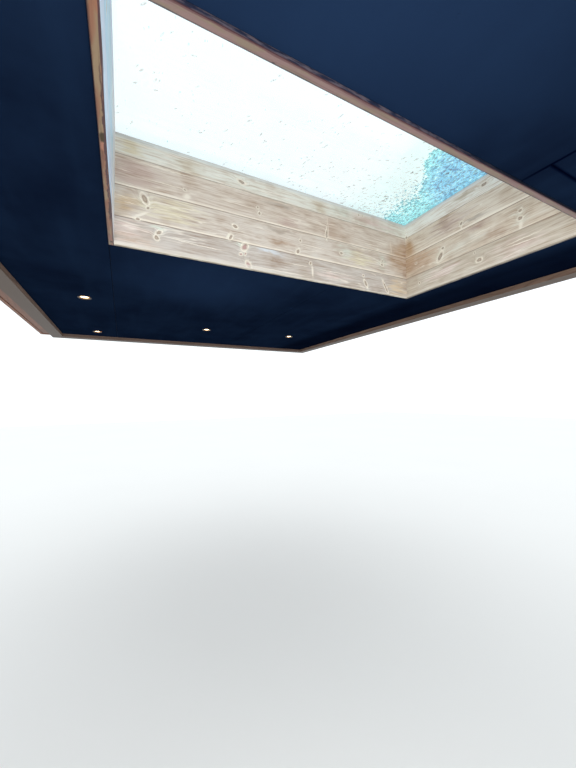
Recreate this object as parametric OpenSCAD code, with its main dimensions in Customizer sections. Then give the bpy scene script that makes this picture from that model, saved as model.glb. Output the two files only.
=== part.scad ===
// Flat roof section of a timber hut, with a board-lined light well under a flat rooflight.
// X runs across the hut, Y along it and Z up. The origin is the middle of the underside of the
// wall plates, where the section bears on the walls. All sizes are in millimetres.

/* [Room under the roof] */
// Width of the ceiling between the side walls
room_w = 2784; // [2600:2:3000]
// Length of the ceiling between the end walls
room_l = 4210; // [4000:10:5000]

/* [Light well] */
// Clear length of the well, across the hut
well_w = 1800; // [1500:10:1850]
// Clear width of the well, along the hut
well_l = 1000; // [800:10:1100]
// Height from the lower edge of the lining to the glass
well_depth = 516; // [480:1:560]
// Ceiling between the left wall and the well
well_left_margin = 515; // [450:1:560]
// Ceiling between the near wall and the well
well_near_margin = 850; // [750:5:1100]
// How far the lining stands down below the ceiling
lining_drop = 10; // [5:1:15]

/* [Boards] */
// Thickness of the lining boards
board_t = 21; // [18:1:25]
// Cover width of a lining board
board_cover = 145; // [120:1:160]
// Cover width of the lowest, ripped lining board
first_cover = 130; // [100:1:145]
// Gap left between two boards for seasonal movement
board_gap = 1; // [0.5:0.5:2]
// Arris taken off the face edges of a board
board_arris = 2; // [1:0.5:3]

/* [Ceiling] */
// Thickness of the painted ceiling sheets
sheet_t = 12; // [9:1:15]
// Cover width of a whole ceiling sheet
sheet_w = 1232; // [1200:1:1250]
// Distance from the near face of the well to the cross joint of the sheets
cross_joint = 105; // [60:5:200]
// Open joint between two sheets
sheet_gap = 2; // [1:0.5:3]
// Thickness of the battens that carry the ceiling
batten_t = 28; // [22:1:34]

/* [Structure] */
// Height of the wall plates
plate_h = 70; // [65:5:90]
// Width of the wall plates
plate_w = 95; // [70:5:120]
// Depth of the joists
joist_h = 195; // [170:5:220]
// Thickness of joists, trimmers and kerb
timber_t = 45; // [38:1:48]
// Overhang of the roof past the wall plates, to the back of the fascia
eaves = 100; // [60:10:140]
// Height of the firrings at the left edge of the roof
firring_low = 20; // [15:1:30]
// Fall of the roof from its right edge to its left
fall = 64; // [40:1:80]
// Thickness of the roof deck
deck_t = 18; // [15:1:22]
// Thickness of the roof membrane
membrane_t = 3; // [2:0.5:4]

/* [Edges and soffits] */
// Thickness of the fascia boards
fascia_t = 25; // [21:1:28]
// Cover width of a fascia board
fascia_cover = 165; // [150:1:180]
// Thickness of the soffit boards
soffit_t = 18; // [12:1:21]
// Height of the raised lip of the roof edge trim
trim_lip = 22; // [15:1:30]
// Length of the trim's leg over the fascia
trim_leg = 70; // [60:1:80]

/* [Rooflight] */
// Thickness of the inner, laminated pane
inner_pane_t = 9; // [6:1:11]
// Height of the spacer between the panes
spacer_h = 16; // [12:1:20]
// Thickness of the outer pane
outer_pane_t = 6; // [5:1:8]
// Thickness of the glazing gaskets
gasket_t = 3; // [2:0.5:4]
// Width of the cap over the edge of the glass
cap_lap = 28; // [28:1:40]
// Height of the cap's outer leg
cap_leg = 72; // [65:1:80]
// Wall thickness of the cap
cap_t = 3; // [2:0.5:4]

/* [Downlights] */
// Outer diameter of a bezel
bezel_d = 82; // [78:1:88]
// Diameter of the hole cut in the ceiling
light_hole_d = 70; // [66:1:72]

/* [Hidden] */
$fn = 48;

// Plan: the room, the plates, the roof edges and the well
room_x = room_w / 2;
room_y = room_l / 2;
plate_x = room_x + plate_w;
plate_y = room_y + plate_w;
frame_x = plate_x + eaves;
frame_y = plate_y + eaves;
fascia_x = frame_x + fascia_t;
fascia_y = frame_y + fascia_t;
well_x0 = -room_x + well_left_margin;
well_x1 = well_x0 + well_w;
well_y0 = -room_y + well_near_margin;
well_y1 = well_y0 + well_l;
back_x0 = well_x0 - board_t;
back_x1 = well_x1 + board_t;
back_y0 = well_y0 - board_t;
back_y1 = well_y1 + board_t;
kerb_x0 = back_x0 - timber_t;
kerb_x1 = back_x1 + timber_t;
kerb_y0 = back_y0 - timber_t;
kerb_y1 = back_y1 + timber_t;

// Heights
batten_z = plate_h - batten_t;
ceiling_z = batten_z - sheet_t;
lining_z = ceiling_z - lining_drop;
joist_top = plate_h + joist_h;
glass_z = lining_z + well_depth;
kerb_top = glass_z - gasket_t;
spacer_z = glass_z + inner_pane_t;
outer_pane_z = spacer_z + spacer_h;
cap_gasket_z = outer_pane_z + outer_pane_t;
cap_z = cap_gasket_z + gasket_t;

// The roof falls from right to left
fall_angle = atan(fall / (2 * frame_x));
function deck_under(x) = joist_top + firring_low + fall * (x + frame_x) / (2 * frame_x);
function deck_top(x) = deck_under(x) + deck_t;
function roof_top(x) = deck_top(x) + membrane_t;

// Finishes
planed = "burlywood";
brushed = "wheat";
stained = "sienna";
painted = "midnightblue";
metal = "dimgray";
rubber = "black";

// A block between two corners
module block(low, high) {
  translate(low) cube(high - low);
}

// An outline in X and Z, drawn out from y0 to y1
module across(y0, y1) {
  translate([0, y1, 0]) rotate([90, 0, 0]) linear_extrude(y1 - y0) children();
}

// An outline in Y and Z, drawn out from x0 to x1
module along(x0, x1) {
  translate([x0, 0, 0]) rotate([90, 0, 90]) linear_extrude(x1 - x0) children();
}

// A ring between two rectangles: the second is the first, drawn in by inset
module ring(x0, x1, y0, y1, inset, z0, z1) {
  difference() {
    block([x0, y0, z0], [x1, y1, z1]);
    block([x0 + inset, y0 + inset, z0 - 1], [x1 - inset, y1 - inset, z1 + 1]);
  }
}

// A slab whose foot and top follow the fall, at the given heights over the deck's underside
module sloped_slab(x0, x1, y0, y1, foot, top) {
  across(y0, y1) polygon([
    [x0, deck_under(x0) + foot], [x1, deck_under(x1) + foot],
    [x1, deck_under(x1) + top], [x0, deck_under(x0) + top]
  ]);
}

// A block that stands on the sloping roof and ends at a level top
module standing_block(x0, x1, y0, y1, lift, top) {
  across(y0, y1) polygon([
    [x0, deck_under(x0) + lift], [x1, deck_under(x1) + lift], [x1, top], [x0, top]
  ]);
}

// Tongued and grooved boards. A board's face is at u = 0 and its back at u = t.
tongue_t = 6;
tongue_h = 6;
tongue_play = 0.4;
function board_section(t, v0, v1, groove, tongue) =
  let (
    a = board_arris,
    m = (t - tongue_t) / 2,
    g0 = m - tongue_play,
    g1 = m + tongue_t + tongue_play,
    root = v0 + tongue_h + 1,
    tip = v1 + tongue_h
  )
  concat(
    [[0, v0 + a], [0, v1 - a], [a, v1]],
    tongue ? [[m, v1], [m, tip], [m + tongue_t, tip], [m + tongue_t, v1]] : [],
    [[t, v1], [t, v0]],
    groove ? [[g1, v0], [g1, root], [g0, root], [g0, v0]] : [],
    [[a, v0]]
  );

// Boards stacked from z0 to z1, drawn along X with their faces to -Y; the first may be ripped
module boarding(length, t, z0, z1, first, cover) {
  joints = [for (z = z0 + first; z < z1 - tongue_h; z = z + cover) z];
  for (i = [0 : len(joints)]) {
    v0 = i == 0 ? z0 : joints[i - 1] + board_gap;
    v1 = i == len(joints) ? z1 : joints[i];
    along(0, length) polygon(board_section(t, v0, v1, i > 0, i < len(joints)));
  }
}

// Wall plates, which bear on the walls
module wall_plate_side(side) {
  color(planed) block(
    [side < 0 ? -plate_x : room_x, -plate_y, 0],
    [side < 0 ? -room_x : plate_x, plate_y, plate_h]
  );
}
module wall_plate_end(side) {
  color(planed) block(
    [-room_x, side < 0 ? -plate_y : room_y, 0],
    [room_x, side < 0 ? -room_y : plate_y, plate_h]
  );
}

// Joists across the hut, and short ones from the headers to the eaves
end_joist_y = frame_y - timber_t / 2;
near_trimmer_y = back_y0 - timber_t;
far_trimmer_y = back_y1 + timber_t;
far_bays = 4;
near_bays = 2;
far_bay = (end_joist_y - far_trimmer_y) / far_bays;
near_bay = (near_trimmer_y + end_joist_y) / near_bays;
joist_rows = concat(
  [for (i = [0 : near_bays - 1]) -end_joist_y + i * near_bay],
  [for (i = [1 : far_bays]) far_trimmer_y + i * far_bay]
);
well_mid_y = (well_y0 + well_y1) / 2;
module joist(x0, x1, y) {
  block([x0, y - timber_t / 2, plate_h], [x1, y + timber_t / 2, joist_top]);
}
module joists() {
  color(planed) {
    for (y = joist_rows) joist(-frame_x, frame_x, y);
    joist(-frame_x, kerb_x0, well_mid_y);
    joist(kerb_x1, frame_x, well_mid_y);
  }
}

// Doubled joists before and behind the opening
module opening_trimmers() {
  color(planed) for (y = [near_trimmer_y, far_trimmer_y])
    block([-frame_x, y - timber_t, plate_h], [frame_x, y + timber_t, joist_top]);
}

// Headers between the trimmers, at the two ends of the opening
module opening_headers() {
  color(planed) for (x = [kerb_x0, back_x1])
    block([x, back_y0, plate_h], [x + timber_t, back_y1, joist_top]);
}

// Battens under the joists, broken where the well comes through
batten_w = 45;
batten_end_gap = 1;
seam_x0 = back_x0;
seam_x1 = seam_x0 + sheet_w;
module batten(x, y0, y1) {
  block([x - batten_w / 2, y0, batten_z], [x + batten_w / 2, y1, plate_h]);
}
module ceiling_battens() {
  wall_x = room_x - batten_w / 2;
  right_x = back_x1 + batten_w / 2;
  color(planed) {
    for (x = [-wall_x, wall_x]) batten(x, -room_y, room_y);
    for (x = [seam_x0, seam_x0 + sheet_w / 2, seam_x1, right_x]) {
      batten(x, -room_y, back_y0);
      batten(x, back_y1, room_y);
    }
    for (x = [back_x0 - batten_w / 2, right_x])
      batten(x, back_y0 + batten_end_gap, back_y1 - batten_end_gap);
  }
}

// Tapered firrings on the joists, which give the roof its fall
module firring(x0, x1, y0, y1) {
  across(y0, y1) polygon([
    [x0, joist_top], [x1, joist_top], [x1, deck_under(x1)], [x0, deck_under(x0)]
  ]);
}
firring_gap = 1;
module firrings() {
  half = timber_t / 2;
  color(planed) {
    for (y = joist_rows) firring(-frame_x, frame_x, y - half, y + half);
    for (y = [near_trimmer_y, far_trimmer_y])
      firring(-frame_x, frame_x, y - timber_t, y + timber_t);
    firring(-frame_x, kerb_x0 - firring_gap, well_mid_y - half, well_mid_y + half);
    firring(kerb_x1 + firring_gap, frame_x, well_mid_y - half, well_mid_y + half);
    for (x = [kerb_x0, back_x1])
      firring(x, x + timber_t, back_y0 + firring_gap, back_y1 - firring_gap);
  }
}

// Deck sheets with open joints over the timbers, cut out over the well after they are laid
deck_gap = 3;
module deck_sheet(x0, x1, y0, y1) {
  g = deck_gap / 2;
  sloped_slab(x0 + g, x1 - g, y0 + g, y1 - g, 0, deck_t);
}
module roof_deck() {
  rows = [-frame_y, near_trimmer_y, far_trimmer_y, far_trimmer_y + 2 * far_bay, frame_y];
  color("tan") difference() {
    for (i = [0 : len(rows) - 2]) {
      deck_sheet(-frame_x, 0, rows[i], rows[i + 1]);
      deck_sheet(0, frame_x, rows[i], rows[i + 1]);
    }
    block([back_x0, back_y0, joist_top], [back_x1, back_y1, kerb_top]);
  }
}

// One membrane over the deck, turned up round the kerb
module roof_membrane() {
  m = membrane_t;
  turn_up = kerb_top - 40;
  color("darkslategray") difference() {
    union() {
      sloped_slab(-fascia_x, fascia_x, -fascia_y, fascia_y, deck_t, deck_t + m);
      standing_block(kerb_x0 - m, kerb_x1 + m, kerb_y0 - m, kerb_y1 + m, deck_t, turn_up);
    }
    block([kerb_x0, kerb_y0, 0], [kerb_x1, kerb_y1, kerb_top]);
  }
}

// Fascias of two boards; those at the ends are cut to the fall
fascia_z = plate_h - soffit_t - 5;
fascia_clear = 1;
module fascia_side(side) {
  top = deck_top(side * frame_x) - fascia_clear;
  color(stained) translate([side * fascia_x, -side * frame_y, 0]) rotate([0, 0, side * 90])
    boarding(2 * frame_y, fascia_t, fascia_z, top, fascia_cover, fascia_cover);
}
module fascia_end(side) {
  high = deck_top(fascia_x);
  color(stained) intersection() {
    translate([side * fascia_x, side * fascia_y, 0]) rotate([0, 0, side < 0 ? 0 : 180])
      boarding(2 * fascia_x, fascia_t, fascia_z, high, fascia_cover, fascia_cover);
    across(-2 * fascia_y, 2 * fascia_y) polygon([
      [-2 * fascia_x, 0], [2 * fascia_x, 0],
      [2 * fascia_x, deck_top(2 * fascia_x) - fascia_clear],
      [-2 * fascia_x, deck_top(-2 * fascia_x) - fascia_clear]
    ]);
  }
}

// Soffit boards under the eaves
soffit_z = plate_h - soffit_t;
module soffits_long() {
  color(stained) for (x = [-frame_x, plate_x])
    block([x, -frame_y, soffit_z], [x + eaves, frame_y, plate_h]);
}
module soffits_cross() {
  color(stained) for (y = [-frame_y, plate_y])
    block([-plate_x, y, soffit_z], [plate_x, y + eaves, plate_h]);
}

// Folded edge trim. In its section u runs outward from the inner face of the face leg.
trim_t = 2;
trim_flat = 60;
trim_kick = 8;
trim_stand = 3;
trim_x = fascia_x + trim_stand;
trim_y = fascia_y + trim_stand;
mitre_gap = 0.5;
function trim_section(lip) =
  let (f = trim_flat, g = trim_leg, k = trim_kick, t = trim_t)
  concat(
    [[0, -g], [k, -g - k], [k + t, -g - k + t], [t, -g + t]],
    lip > 0 ? [[t, lip], [-2 * t, lip], [-2 * t, t]] : [[t, t]],
    [[-f, t], [-f, 0]],
    lip > 0 ? [[-t, 0], [-t, lip - t], [0, lip - t]] : [[0, 0]]
  );

// Plan outline that cuts a mitre at both ends of a piece along X; its edge is at y = edge
function mitre_outline(half, edge, side) =
  let (inner = trim_flat + 20, outer = trim_kick + 20)
  [
    [-half + inner + mitre_gap, side * (edge - inner)],
    [half - inner - mitre_gap, side * (edge - inner)],
    [half + outer - mitre_gap, side * (edge + outer)],
    [-half - outer + mitre_gap, side * (edge + outer)]
  ];
function swapped(points) = [for (p = points) [p[1], p[0]]];
// The low, left edge has no lip, so that the rain runs off over it
module edge_trim_side(side) {
  section = [for (p = trim_section(side < 0 ? 0 : trim_lip))
    let (x = side * (trim_x + p[0])) [x, roof_top(x) + p[1]]];
  color(metal) intersection() {
    across(-2 * trim_y, 2 * trim_y) polygon(section);
    linear_extrude(2 * kerb_top) polygon(swapped(mitre_outline(trim_y, trim_x, side)));
  }
}
module edge_trim_end(side) {
  section = [for (p = trim_section(trim_lip)) [side * (trim_y + p[0]), p[1]]];
  color(metal) intersection() {
    translate([0, 0, roof_top(0)]) rotate([0, -fall_angle, 0])
      along(-2 * trim_x, 2 * trim_x) polygon(section);
    linear_extrude(2 * kerb_top) polygon(mitre_outline(trim_x, trim_y, side));
  }
}

// Downlights, placed from the left and near faces of the well as the photo shows them
light_places = [[-196, 1946], [-193, 3120], [776, 2607], [1695, 2593]];
module at_lights() {
  for (p = light_places) translate([well_x0 + p[0], well_y0 + p[1], ceiling_z]) children();
}
module downlight_bezels() {
  flange_t = 2.5;
  tube_r = light_hole_d / 2 - 1;
  tube_h = 34;
  wall = 2;
  color(metal) at_lights() rotate_extrude() polygon([
    [tube_r - wall, -flange_t], [bezel_d / 2 - 1, -flange_t], [bezel_d / 2, -flange_t + 1],
    [bezel_d / 2, 0], [tube_r, 0], [tube_r, tube_h], [0, tube_h], [0, tube_h - wall],
    [tube_r - wall, tube_h - wall]
  ]);
}
module downlight_lenses() {
  lens_r = light_hole_d / 2 - 4;
  color("lightyellow") at_lights() translate([0, 0, 2]) cylinder(r = lens_r, h = 28);
}

// Ceiling sheets. Their lower arrises are taken off, so that a joint shows as a fine line.
sheet_arris = 1.5;
function sheet_section(p0, p1) =
  let (a = sheet_arris, g = sheet_gap / 2)
  [
    [p0 + g + a, ceiling_z], [p1 - g - a, ceiling_z], [p1 - g, ceiling_z + a],
    [p1 - g, batten_z], [p0 + g, batten_z], [p0 + g, ceiling_z + a]
  ];
module sheet(x0, x1, y0, y1) {
  intersection() {
    across(y0, y1) polygon(sheet_section(x0, x1));
    along(x0, x1) polygon(sheet_section(y0, y1));
  }
}
module light_holes() {
  at_lights() translate([0, 0, -1]) cylinder(d = light_hole_d, h = sheet_t + 2);
}
module well_hole() {
  g = sheet_gap / 2;
  block([back_x0 - g, back_y0 - g, ceiling_z - 1], [back_x1 + g, back_y1 + g, batten_z + 1]);
}
module ceiling_left() {
  color(painted) difference() {
    sheet(-room_x, seam_x0, -room_y, room_y);
    light_holes();
  }
}
module ceiling_middle() {
  color(painted) difference() {
    union() {
      sheet(seam_x0, seam_x1, -room_y, back_y0);
      sheet(seam_x0, seam_x1, back_y1, room_y);
    }
    light_holes();
  }
}
module ceiling_right() {
  joint_y = well_y0 - cross_joint;
  color(painted) difference() {
    union() {
      sheet(seam_x1, room_x, -room_y, joint_y);
      sheet(seam_x1, room_x, joint_y, room_y);
    }
    light_holes();
    well_hole();
  }
}

// Board lining of the well. The side linings run past the ends of the cross linings.
module lining(place, turn, length) {
  color(brushed) translate([place[0], place[1], 0]) rotate([0, 0, turn])
    boarding(length, board_t, lining_z, kerb_top, first_cover, board_cover);
}
module lining_left() { lining([well_x0, back_y0], 90, well_l + 2 * board_t); }
module lining_right() { lining([well_x1, back_y1], -90, well_l + 2 * board_t); }
module lining_near() { lining([well_x1, well_y0], 180, well_w); }
module lining_far() { lining([well_x0, well_y1], 0, well_w); }

// Kerb on the deck, which carries the glass
module kerb(x0, x1, y0, y1) {
  color(planed) standing_block(x0, x1, y0, y1, deck_t, kerb_top);
}
module kerb_left() { kerb(kerb_x0, back_x0, back_y0, back_y1); }
module kerb_right() { kerb(back_x1, kerb_x1, back_y0, back_y1); }
module kerb_near() { kerb(kerb_x0, kerb_x1, kerb_y0, back_y0); }
module kerb_far() { kerb(kerb_x0, kerb_x1, back_y1, kerb_y1); }

// Metal flashing over the membrane's turn-up
flashing_t = 2;
flashing_lift = 15;
module kerb_flashing(x0, x1, y0, y1) {
  color(metal)
    standing_block(x0, x1, y0, y1, deck_t + membrane_t + flashing_lift, kerb_top - 1);
}
face_x0 = kerb_x0 - membrane_t;
face_x1 = kerb_x1 + membrane_t;
face_y0 = kerb_y0 - membrane_t;
face_y1 = kerb_y1 + membrane_t;
module kerb_flashing_left() { kerb_flashing(face_x0 - flashing_t, face_x0, face_y0, face_y1); }
module kerb_flashing_right() { kerb_flashing(face_x1, face_x1 + flashing_t, face_y0, face_y1); }
module kerb_flashing_near() {
  kerb_flashing(face_x0 - flashing_t, face_x1 + flashing_t, face_y0 - flashing_t, face_y0);
}
module kerb_flashing_far() {
  kerb_flashing(face_x0 - flashing_t, face_x1 + flashing_t, face_y1, face_y1 + flashing_t);
}

// Sealed glass unit on gaskets, flush with the outside of the kerb
edge_set = 6;
spacer_inset = 14;
spacer_w = 14;
module base_gasket() {
  color(rubber)
    ring(kerb_x0, kerb_x1, kerb_y0, kerb_y1, timber_t + board_t, kerb_top, glass_z);
}
module pane(z, t) {
  color("aliceblue", 0.4) block(
    [kerb_x0 + edge_set, kerb_y0 + edge_set, z],
    [kerb_x1 - edge_set, kerb_y1 - edge_set, z + t]
  );
}
module inner_pane() { pane(glass_z, inner_pane_t); }
module outer_pane() { pane(outer_pane_z, outer_pane_t); }
module glass_spacer() {
  i = spacer_inset;
  color("silver")
    ring(kerb_x0 + i, kerb_x1 - i, kerb_y0 + i, kerb_y1 - i, spacer_w, spacer_z, outer_pane_z);
}
module cap_gasket() {
  i = edge_set + 2;
  color(rubber)
    ring(kerb_x0 + i, kerb_x1 - i, kerb_y0 + i, kerb_y1 - i, cap_lap - i - 2, cap_gasket_z, cap_z);
}

// Cap round the glass in four mitred lengths. In its section u runs outward from the kerb.
cap_out = 16;
cap_hem = 7;
function cap_section() =
  let (t = cap_t, o = cap_out, foot = cap_t - cap_leg)
  [
    [-cap_lap, 0], [o, 0], [o, foot + t], [o - cap_hem, foot + t], [o - cap_hem, foot],
    [o + t, foot], [o + t, 0], [o, t], [-cap_lap + t, t], [-cap_lap, t / 3]
  ];
module cap_length(half, edge) {
  reach = cap_lap + 20;
  out = cap_out + 20;
  intersection() {
    along(-half - out, half + out) polygon([for (p = cap_section()) [edge + p[0], p[1]]]);
    linear_extrude(4 * cap_leg, center = true) polygon([
      [-half + reach + mitre_gap, edge - reach], [half - reach - mitre_gap, edge - reach],
      [half + out - mitre_gap, edge + out], [-half - out + mitre_gap, edge + out]
    ]);
  }
}
module glazing_cap() {
  half_x = (kerb_x1 - kerb_x0) / 2;
  half_y = (kerb_y1 - kerb_y0) / 2;
  color(metal) translate([(kerb_x0 + kerb_x1) / 2, (kerb_y0 + kerb_y1) / 2, cap_z]) {
    for (turn = [0, 180]) rotate([0, 0, turn]) cap_length(half_x, half_y);
    for (turn = [90, 270]) rotate([0, 0, turn]) cap_length(half_y, half_x);
  }
}

wall_plate_side(-1);  // wall_plate_left
wall_plate_side(1);  // wall_plate_right
wall_plate_end(-1);  // wall_plate_near
wall_plate_end(1);  // wall_plate_far
joists();
opening_trimmers();
opening_headers();
ceiling_battens();
firrings();
roof_deck();
roof_membrane();
fascia_side(-1);  // fascia_left
fascia_side(1);  // fascia_right
fascia_end(-1);  // fascia_near
fascia_end(1);  // fascia_far
soffits_long();
soffits_cross();
edge_trim_side(-1);  // edge_trim_left
edge_trim_side(1);  // edge_trim_right
edge_trim_end(-1);  // edge_trim_near
edge_trim_end(1);  // edge_trim_far
ceiling_left();
ceiling_middle();
ceiling_right();
downlight_bezels();
downlight_lenses();
lining_left();
lining_right();
lining_near();
lining_far();
kerb_left();
kerb_right();
kerb_near();
kerb_far();
kerb_flashing_left();
kerb_flashing_right();
kerb_flashing_near();
kerb_flashing_far();
base_gasket();
inner_pane();
glass_spacer();
outer_pane();
cap_gasket();
glazing_cap();
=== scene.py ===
# %% [markdown]
# # A flat hut roof with a board-lined rooflight
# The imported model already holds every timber, board, sheet and pane at its true size. This
# lesson dresses it: brushed and scorched pine in the well, navy paint on the ceiling, rain on
# the glass, and the screws, nails and laps that hold such a roof together. We never move a
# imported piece. We only give it a finish, or set small new pieces on it.

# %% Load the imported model
import math
import random

import bpy
from mathutils import Matrix, Vector


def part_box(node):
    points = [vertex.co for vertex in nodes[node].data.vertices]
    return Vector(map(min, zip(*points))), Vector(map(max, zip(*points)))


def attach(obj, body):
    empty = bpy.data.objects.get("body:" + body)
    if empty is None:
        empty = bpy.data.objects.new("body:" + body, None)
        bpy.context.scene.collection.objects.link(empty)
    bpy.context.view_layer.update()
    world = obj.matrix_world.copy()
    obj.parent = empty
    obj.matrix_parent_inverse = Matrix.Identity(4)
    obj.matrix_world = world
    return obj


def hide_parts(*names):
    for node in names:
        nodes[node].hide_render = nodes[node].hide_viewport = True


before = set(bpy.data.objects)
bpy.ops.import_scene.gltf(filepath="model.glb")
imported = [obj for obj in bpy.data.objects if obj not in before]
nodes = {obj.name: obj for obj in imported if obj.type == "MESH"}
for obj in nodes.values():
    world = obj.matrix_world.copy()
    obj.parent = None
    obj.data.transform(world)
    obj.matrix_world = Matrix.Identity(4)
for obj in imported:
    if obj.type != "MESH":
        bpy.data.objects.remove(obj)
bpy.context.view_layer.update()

# %% [markdown]
# ## Where things are
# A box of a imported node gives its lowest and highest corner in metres. The faces of the lining
# boards give us the clear inside of the well, and the rest of the script is set out from them,
# so a change to the model moves the details along with it.

# %% Measure the well, the ceiling and the roof
well_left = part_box("lining_left")[1].x
well_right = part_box("lining_right")[0].x
well_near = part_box("lining_near")[1].y
well_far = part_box("lining_far")[0].y
lining_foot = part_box("lining_far")[0].z
ceiling_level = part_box("ceiling_left")[0].z
glass_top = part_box("outer_pane")[1].z
deck_low, deck_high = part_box("roof_deck")
deck_thickness = 0.018
membrane_thickness = 0.003
roof_fall = (deck_high.z - deck_low.z - deck_thickness) / (deck_high.x - deck_low.x)


def roof_top(x):
    """Height of the membrane's upper face over a point x across the hut."""
    return deck_low.z + deck_thickness + membrane_thickness + roof_fall * (x - deck_low.x)


print(f"well {well_right - well_left:.3f} by {well_far - well_near:.3f} m, fall 1 in {1 / roof_fall:.0f}")

# %% [markdown]
# ## The camera
# A photograph with long straight edges in it tells us where its camera stood. Here it stood
# under the near end of the ceiling, seven tenths of a metre below it, and looked almost level and
# to the right with a very wide lens. We place it from the well's own corner, so that the view
# stays right.

# %% Stand the camera
camera_right_of_well = 0.0443
camera_before_well = 0.5785
camera_under_ceiling = 0.7139
camera_yaw = math.radians(27.2)
camera_pitch = math.radians(2.90)
camera_roll = math.radians(-0.83)
lens_length = 15.03
sensor_width = 36.0


def add_object(name, data):
    """A new object that holds the data, put in the scene."""
    thing = bpy.data.objects.new(name, data)
    bpy.context.scene.collection.objects.link(thing)
    return thing


lens = bpy.data.cameras.new("room_camera")
lens.lens = lens_length
lens.sensor_width = sensor_width
camera = add_object("room_camera", lens)
camera.location = (
    well_left + camera_right_of_well,
    well_near - camera_before_well,
    ceiling_level - camera_under_ceiling,
)
turned = (
    Matrix.Rotation(-camera_yaw, 3, "Z")
    @ Matrix.Rotation(math.pi / 2 + camera_pitch, 3, "X")
    @ Matrix.Rotation(camera_roll, 3, "Z")
)
camera.rotation_euler = turned.to_euler()
bpy.context.scene.camera = camera
print("camera at", tuple(round(v, 3) for v in camera.location))

# %% [markdown]
# ## Floor and light
# The section hangs at its own height over the floor, as it would in use. An overcast sky is the
# same brightness from every side, and a plain world colour is just that. It shines down through
# the glass and, by way of the pale floor, up at the ceiling. A large soft lamp low behind the
# camera lights the well's far sides from below. Colours are shown as they are, with the Standard
# view, so that the bright glass can go to white.

# %% Lay the floor and set the sky
room_height = 2.43
floor_size = 60.0
sky_colour = (0.93, 0.97, 1.0, 1.0)
sky_strength = 1.25

floor_level = ceiling_level - room_height
bpy.ops.mesh.primitive_plane_add(size=floor_size, location=(0.0, 0.0, floor_level))
floor = bpy.context.active_object
floor.name = "studio_floor"
bpy.context.scene.view_settings.view_transform = "Standard"

sky = bpy.data.worlds.new("overcast_sky")
sky.use_nodes = True
background = sky.node_tree.nodes["Background"]
background.inputs["Color"].default_value = sky_colour
background.inputs["Strength"].default_value = sky_strength
bpy.context.scene.world = sky
print(f"floor at {floor_level:.3f}, sky strength {sky_strength}")

# %% Hang the soft lamp
lamp_right_of_well = 0.20
lamp_before_well = 0.95
lamp_under_ceiling = 1.63
lamp_aim_over_ceiling = 0.22

soft_light = bpy.data.lights.new("soft_lamp", "AREA")
soft_light.energy = 50.0
soft_light.color = (1.0, 0.98, 0.95)
soft_light.shape = "RECTANGLE"
soft_light.size = 2.0
soft_light.size_y = 1.5
soft_lamp = add_object("soft_lamp", soft_light)
soft_lamp.location = (
    well_left + lamp_right_of_well,
    well_near - lamp_before_well,
    ceiling_level - lamp_under_ceiling,
)
toward = Vector((0.0, well_far, ceiling_level + lamp_aim_over_ceiling)) - soft_lamp.location
soft_lamp.rotation_euler = toward.to_track_quat("-Z", "Y").to_euler()
soft_lamp.visible_camera = False
print("soft lamp at", tuple(round(v, 3) for v in soft_lamp.location))

# %% [markdown]
# ## Helpers for finishes
# A finish is a small graph of nodes that ends in one shader. The helpers below add a node, join
# it up and hand back its output, so each finish reads as a short recipe. Patterns use Object
# coordinates: metres on the piece itself, which don't slide when the camera moves.

# %% Colours and the start of a finish
def paint(red, green, blue):
    """The 0 to 255 values a picture shows, as the linear ones that nodes use."""
    steps = [value / 255 for value in (red, green, blue)]
    line = [v / 12.92 if v <= 0.04045 else ((v + 0.055) / 1.055) ** 2.4 for v in steps]
    return (*line, 1.0)


def start_finish(name, roughness, **sockets):
    """A new material with one shader. The keywords set the shader's sockets by name."""
    finish = bpy.data.materials.new(name)
    finish.use_nodes = True
    shader = finish.node_tree.nodes["Principled BSDF"]
    shader.inputs["Roughness"].default_value = roughness
    for label, value in sockets.items():
        shader.inputs[label.replace("_", " ")].default_value = value
    return finish, finish.node_tree, shader


def plug(tree, socket, value):
    """Join a socket to an output, or set it to a plain value."""
    if isinstance(value, bpy.types.NodeSocket):
        tree.links.new(value, socket)
    else:
        socket.default_value = value


# %% Places and sums
def place_on(tree):
    """Object coordinates of the point that is being shaded."""
    return tree.nodes.new("ShaderNodeTexCoord").outputs["Object"]


def split(tree, vector):
    """The X, Y and Z of a vector as three outputs."""
    parts = tree.nodes.new("ShaderNodeSeparateXYZ")
    plug(tree, parts.inputs[0], vector)
    return parts.outputs[0], parts.outputs[1], parts.outputs[2]


def join(tree, x, y, z):
    """A vector from three values."""
    joined = tree.nodes.new("ShaderNodeCombineXYZ")
    for socket, value in zip(joined.inputs, (x, y, z)):
        plug(tree, socket, value)
    return joined.outputs[0]


def calc(tree, operation, first, second=0.0, third=0.0):
    """One sum on numbers."""
    step = tree.nodes.new("ShaderNodeMath")
    step.operation = operation
    for socket, value in zip(step.inputs, (first, second, third)):
        plug(tree, socket, value)
    return step.outputs[0]


def times(tree, first, second):
    """The product of two numbers."""
    return calc(tree, "MULTIPLY", first, second)


def vector_calc(tree, operation, *values):
    """One sum on vectors. A length or a distance comes back as a number."""
    step = tree.nodes.new("ShaderNodeVectorMath")
    step.operation = operation
    for socket, value in zip(step.inputs, values):
        plug(tree, socket, value)
    return step.outputs["Value" if operation in ("LENGTH", "DISTANCE") else "Vector"]


def stretch(tree, vector, scale, shift=(0.0, 0.0, 0.0)):
    """A vector times a scale, plus a shift."""
    return vector_calc(tree, "MULTIPLY_ADD", vector, scale, shift)


# %% Noise, fades and blends
def noise(tree, vector, scale, detail=3.0, roughness=0.55):
    """Soft random values from 0 to 1, about 0.5 on average."""
    step = tree.nodes.new("ShaderNodeTexNoise")
    values = {"Vector": vector, "Scale": scale, "Detail": detail, "Roughness": roughness}
    for label, value in values.items():
        plug(tree, step.inputs[label], value)
    return step.outputs[0]


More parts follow.
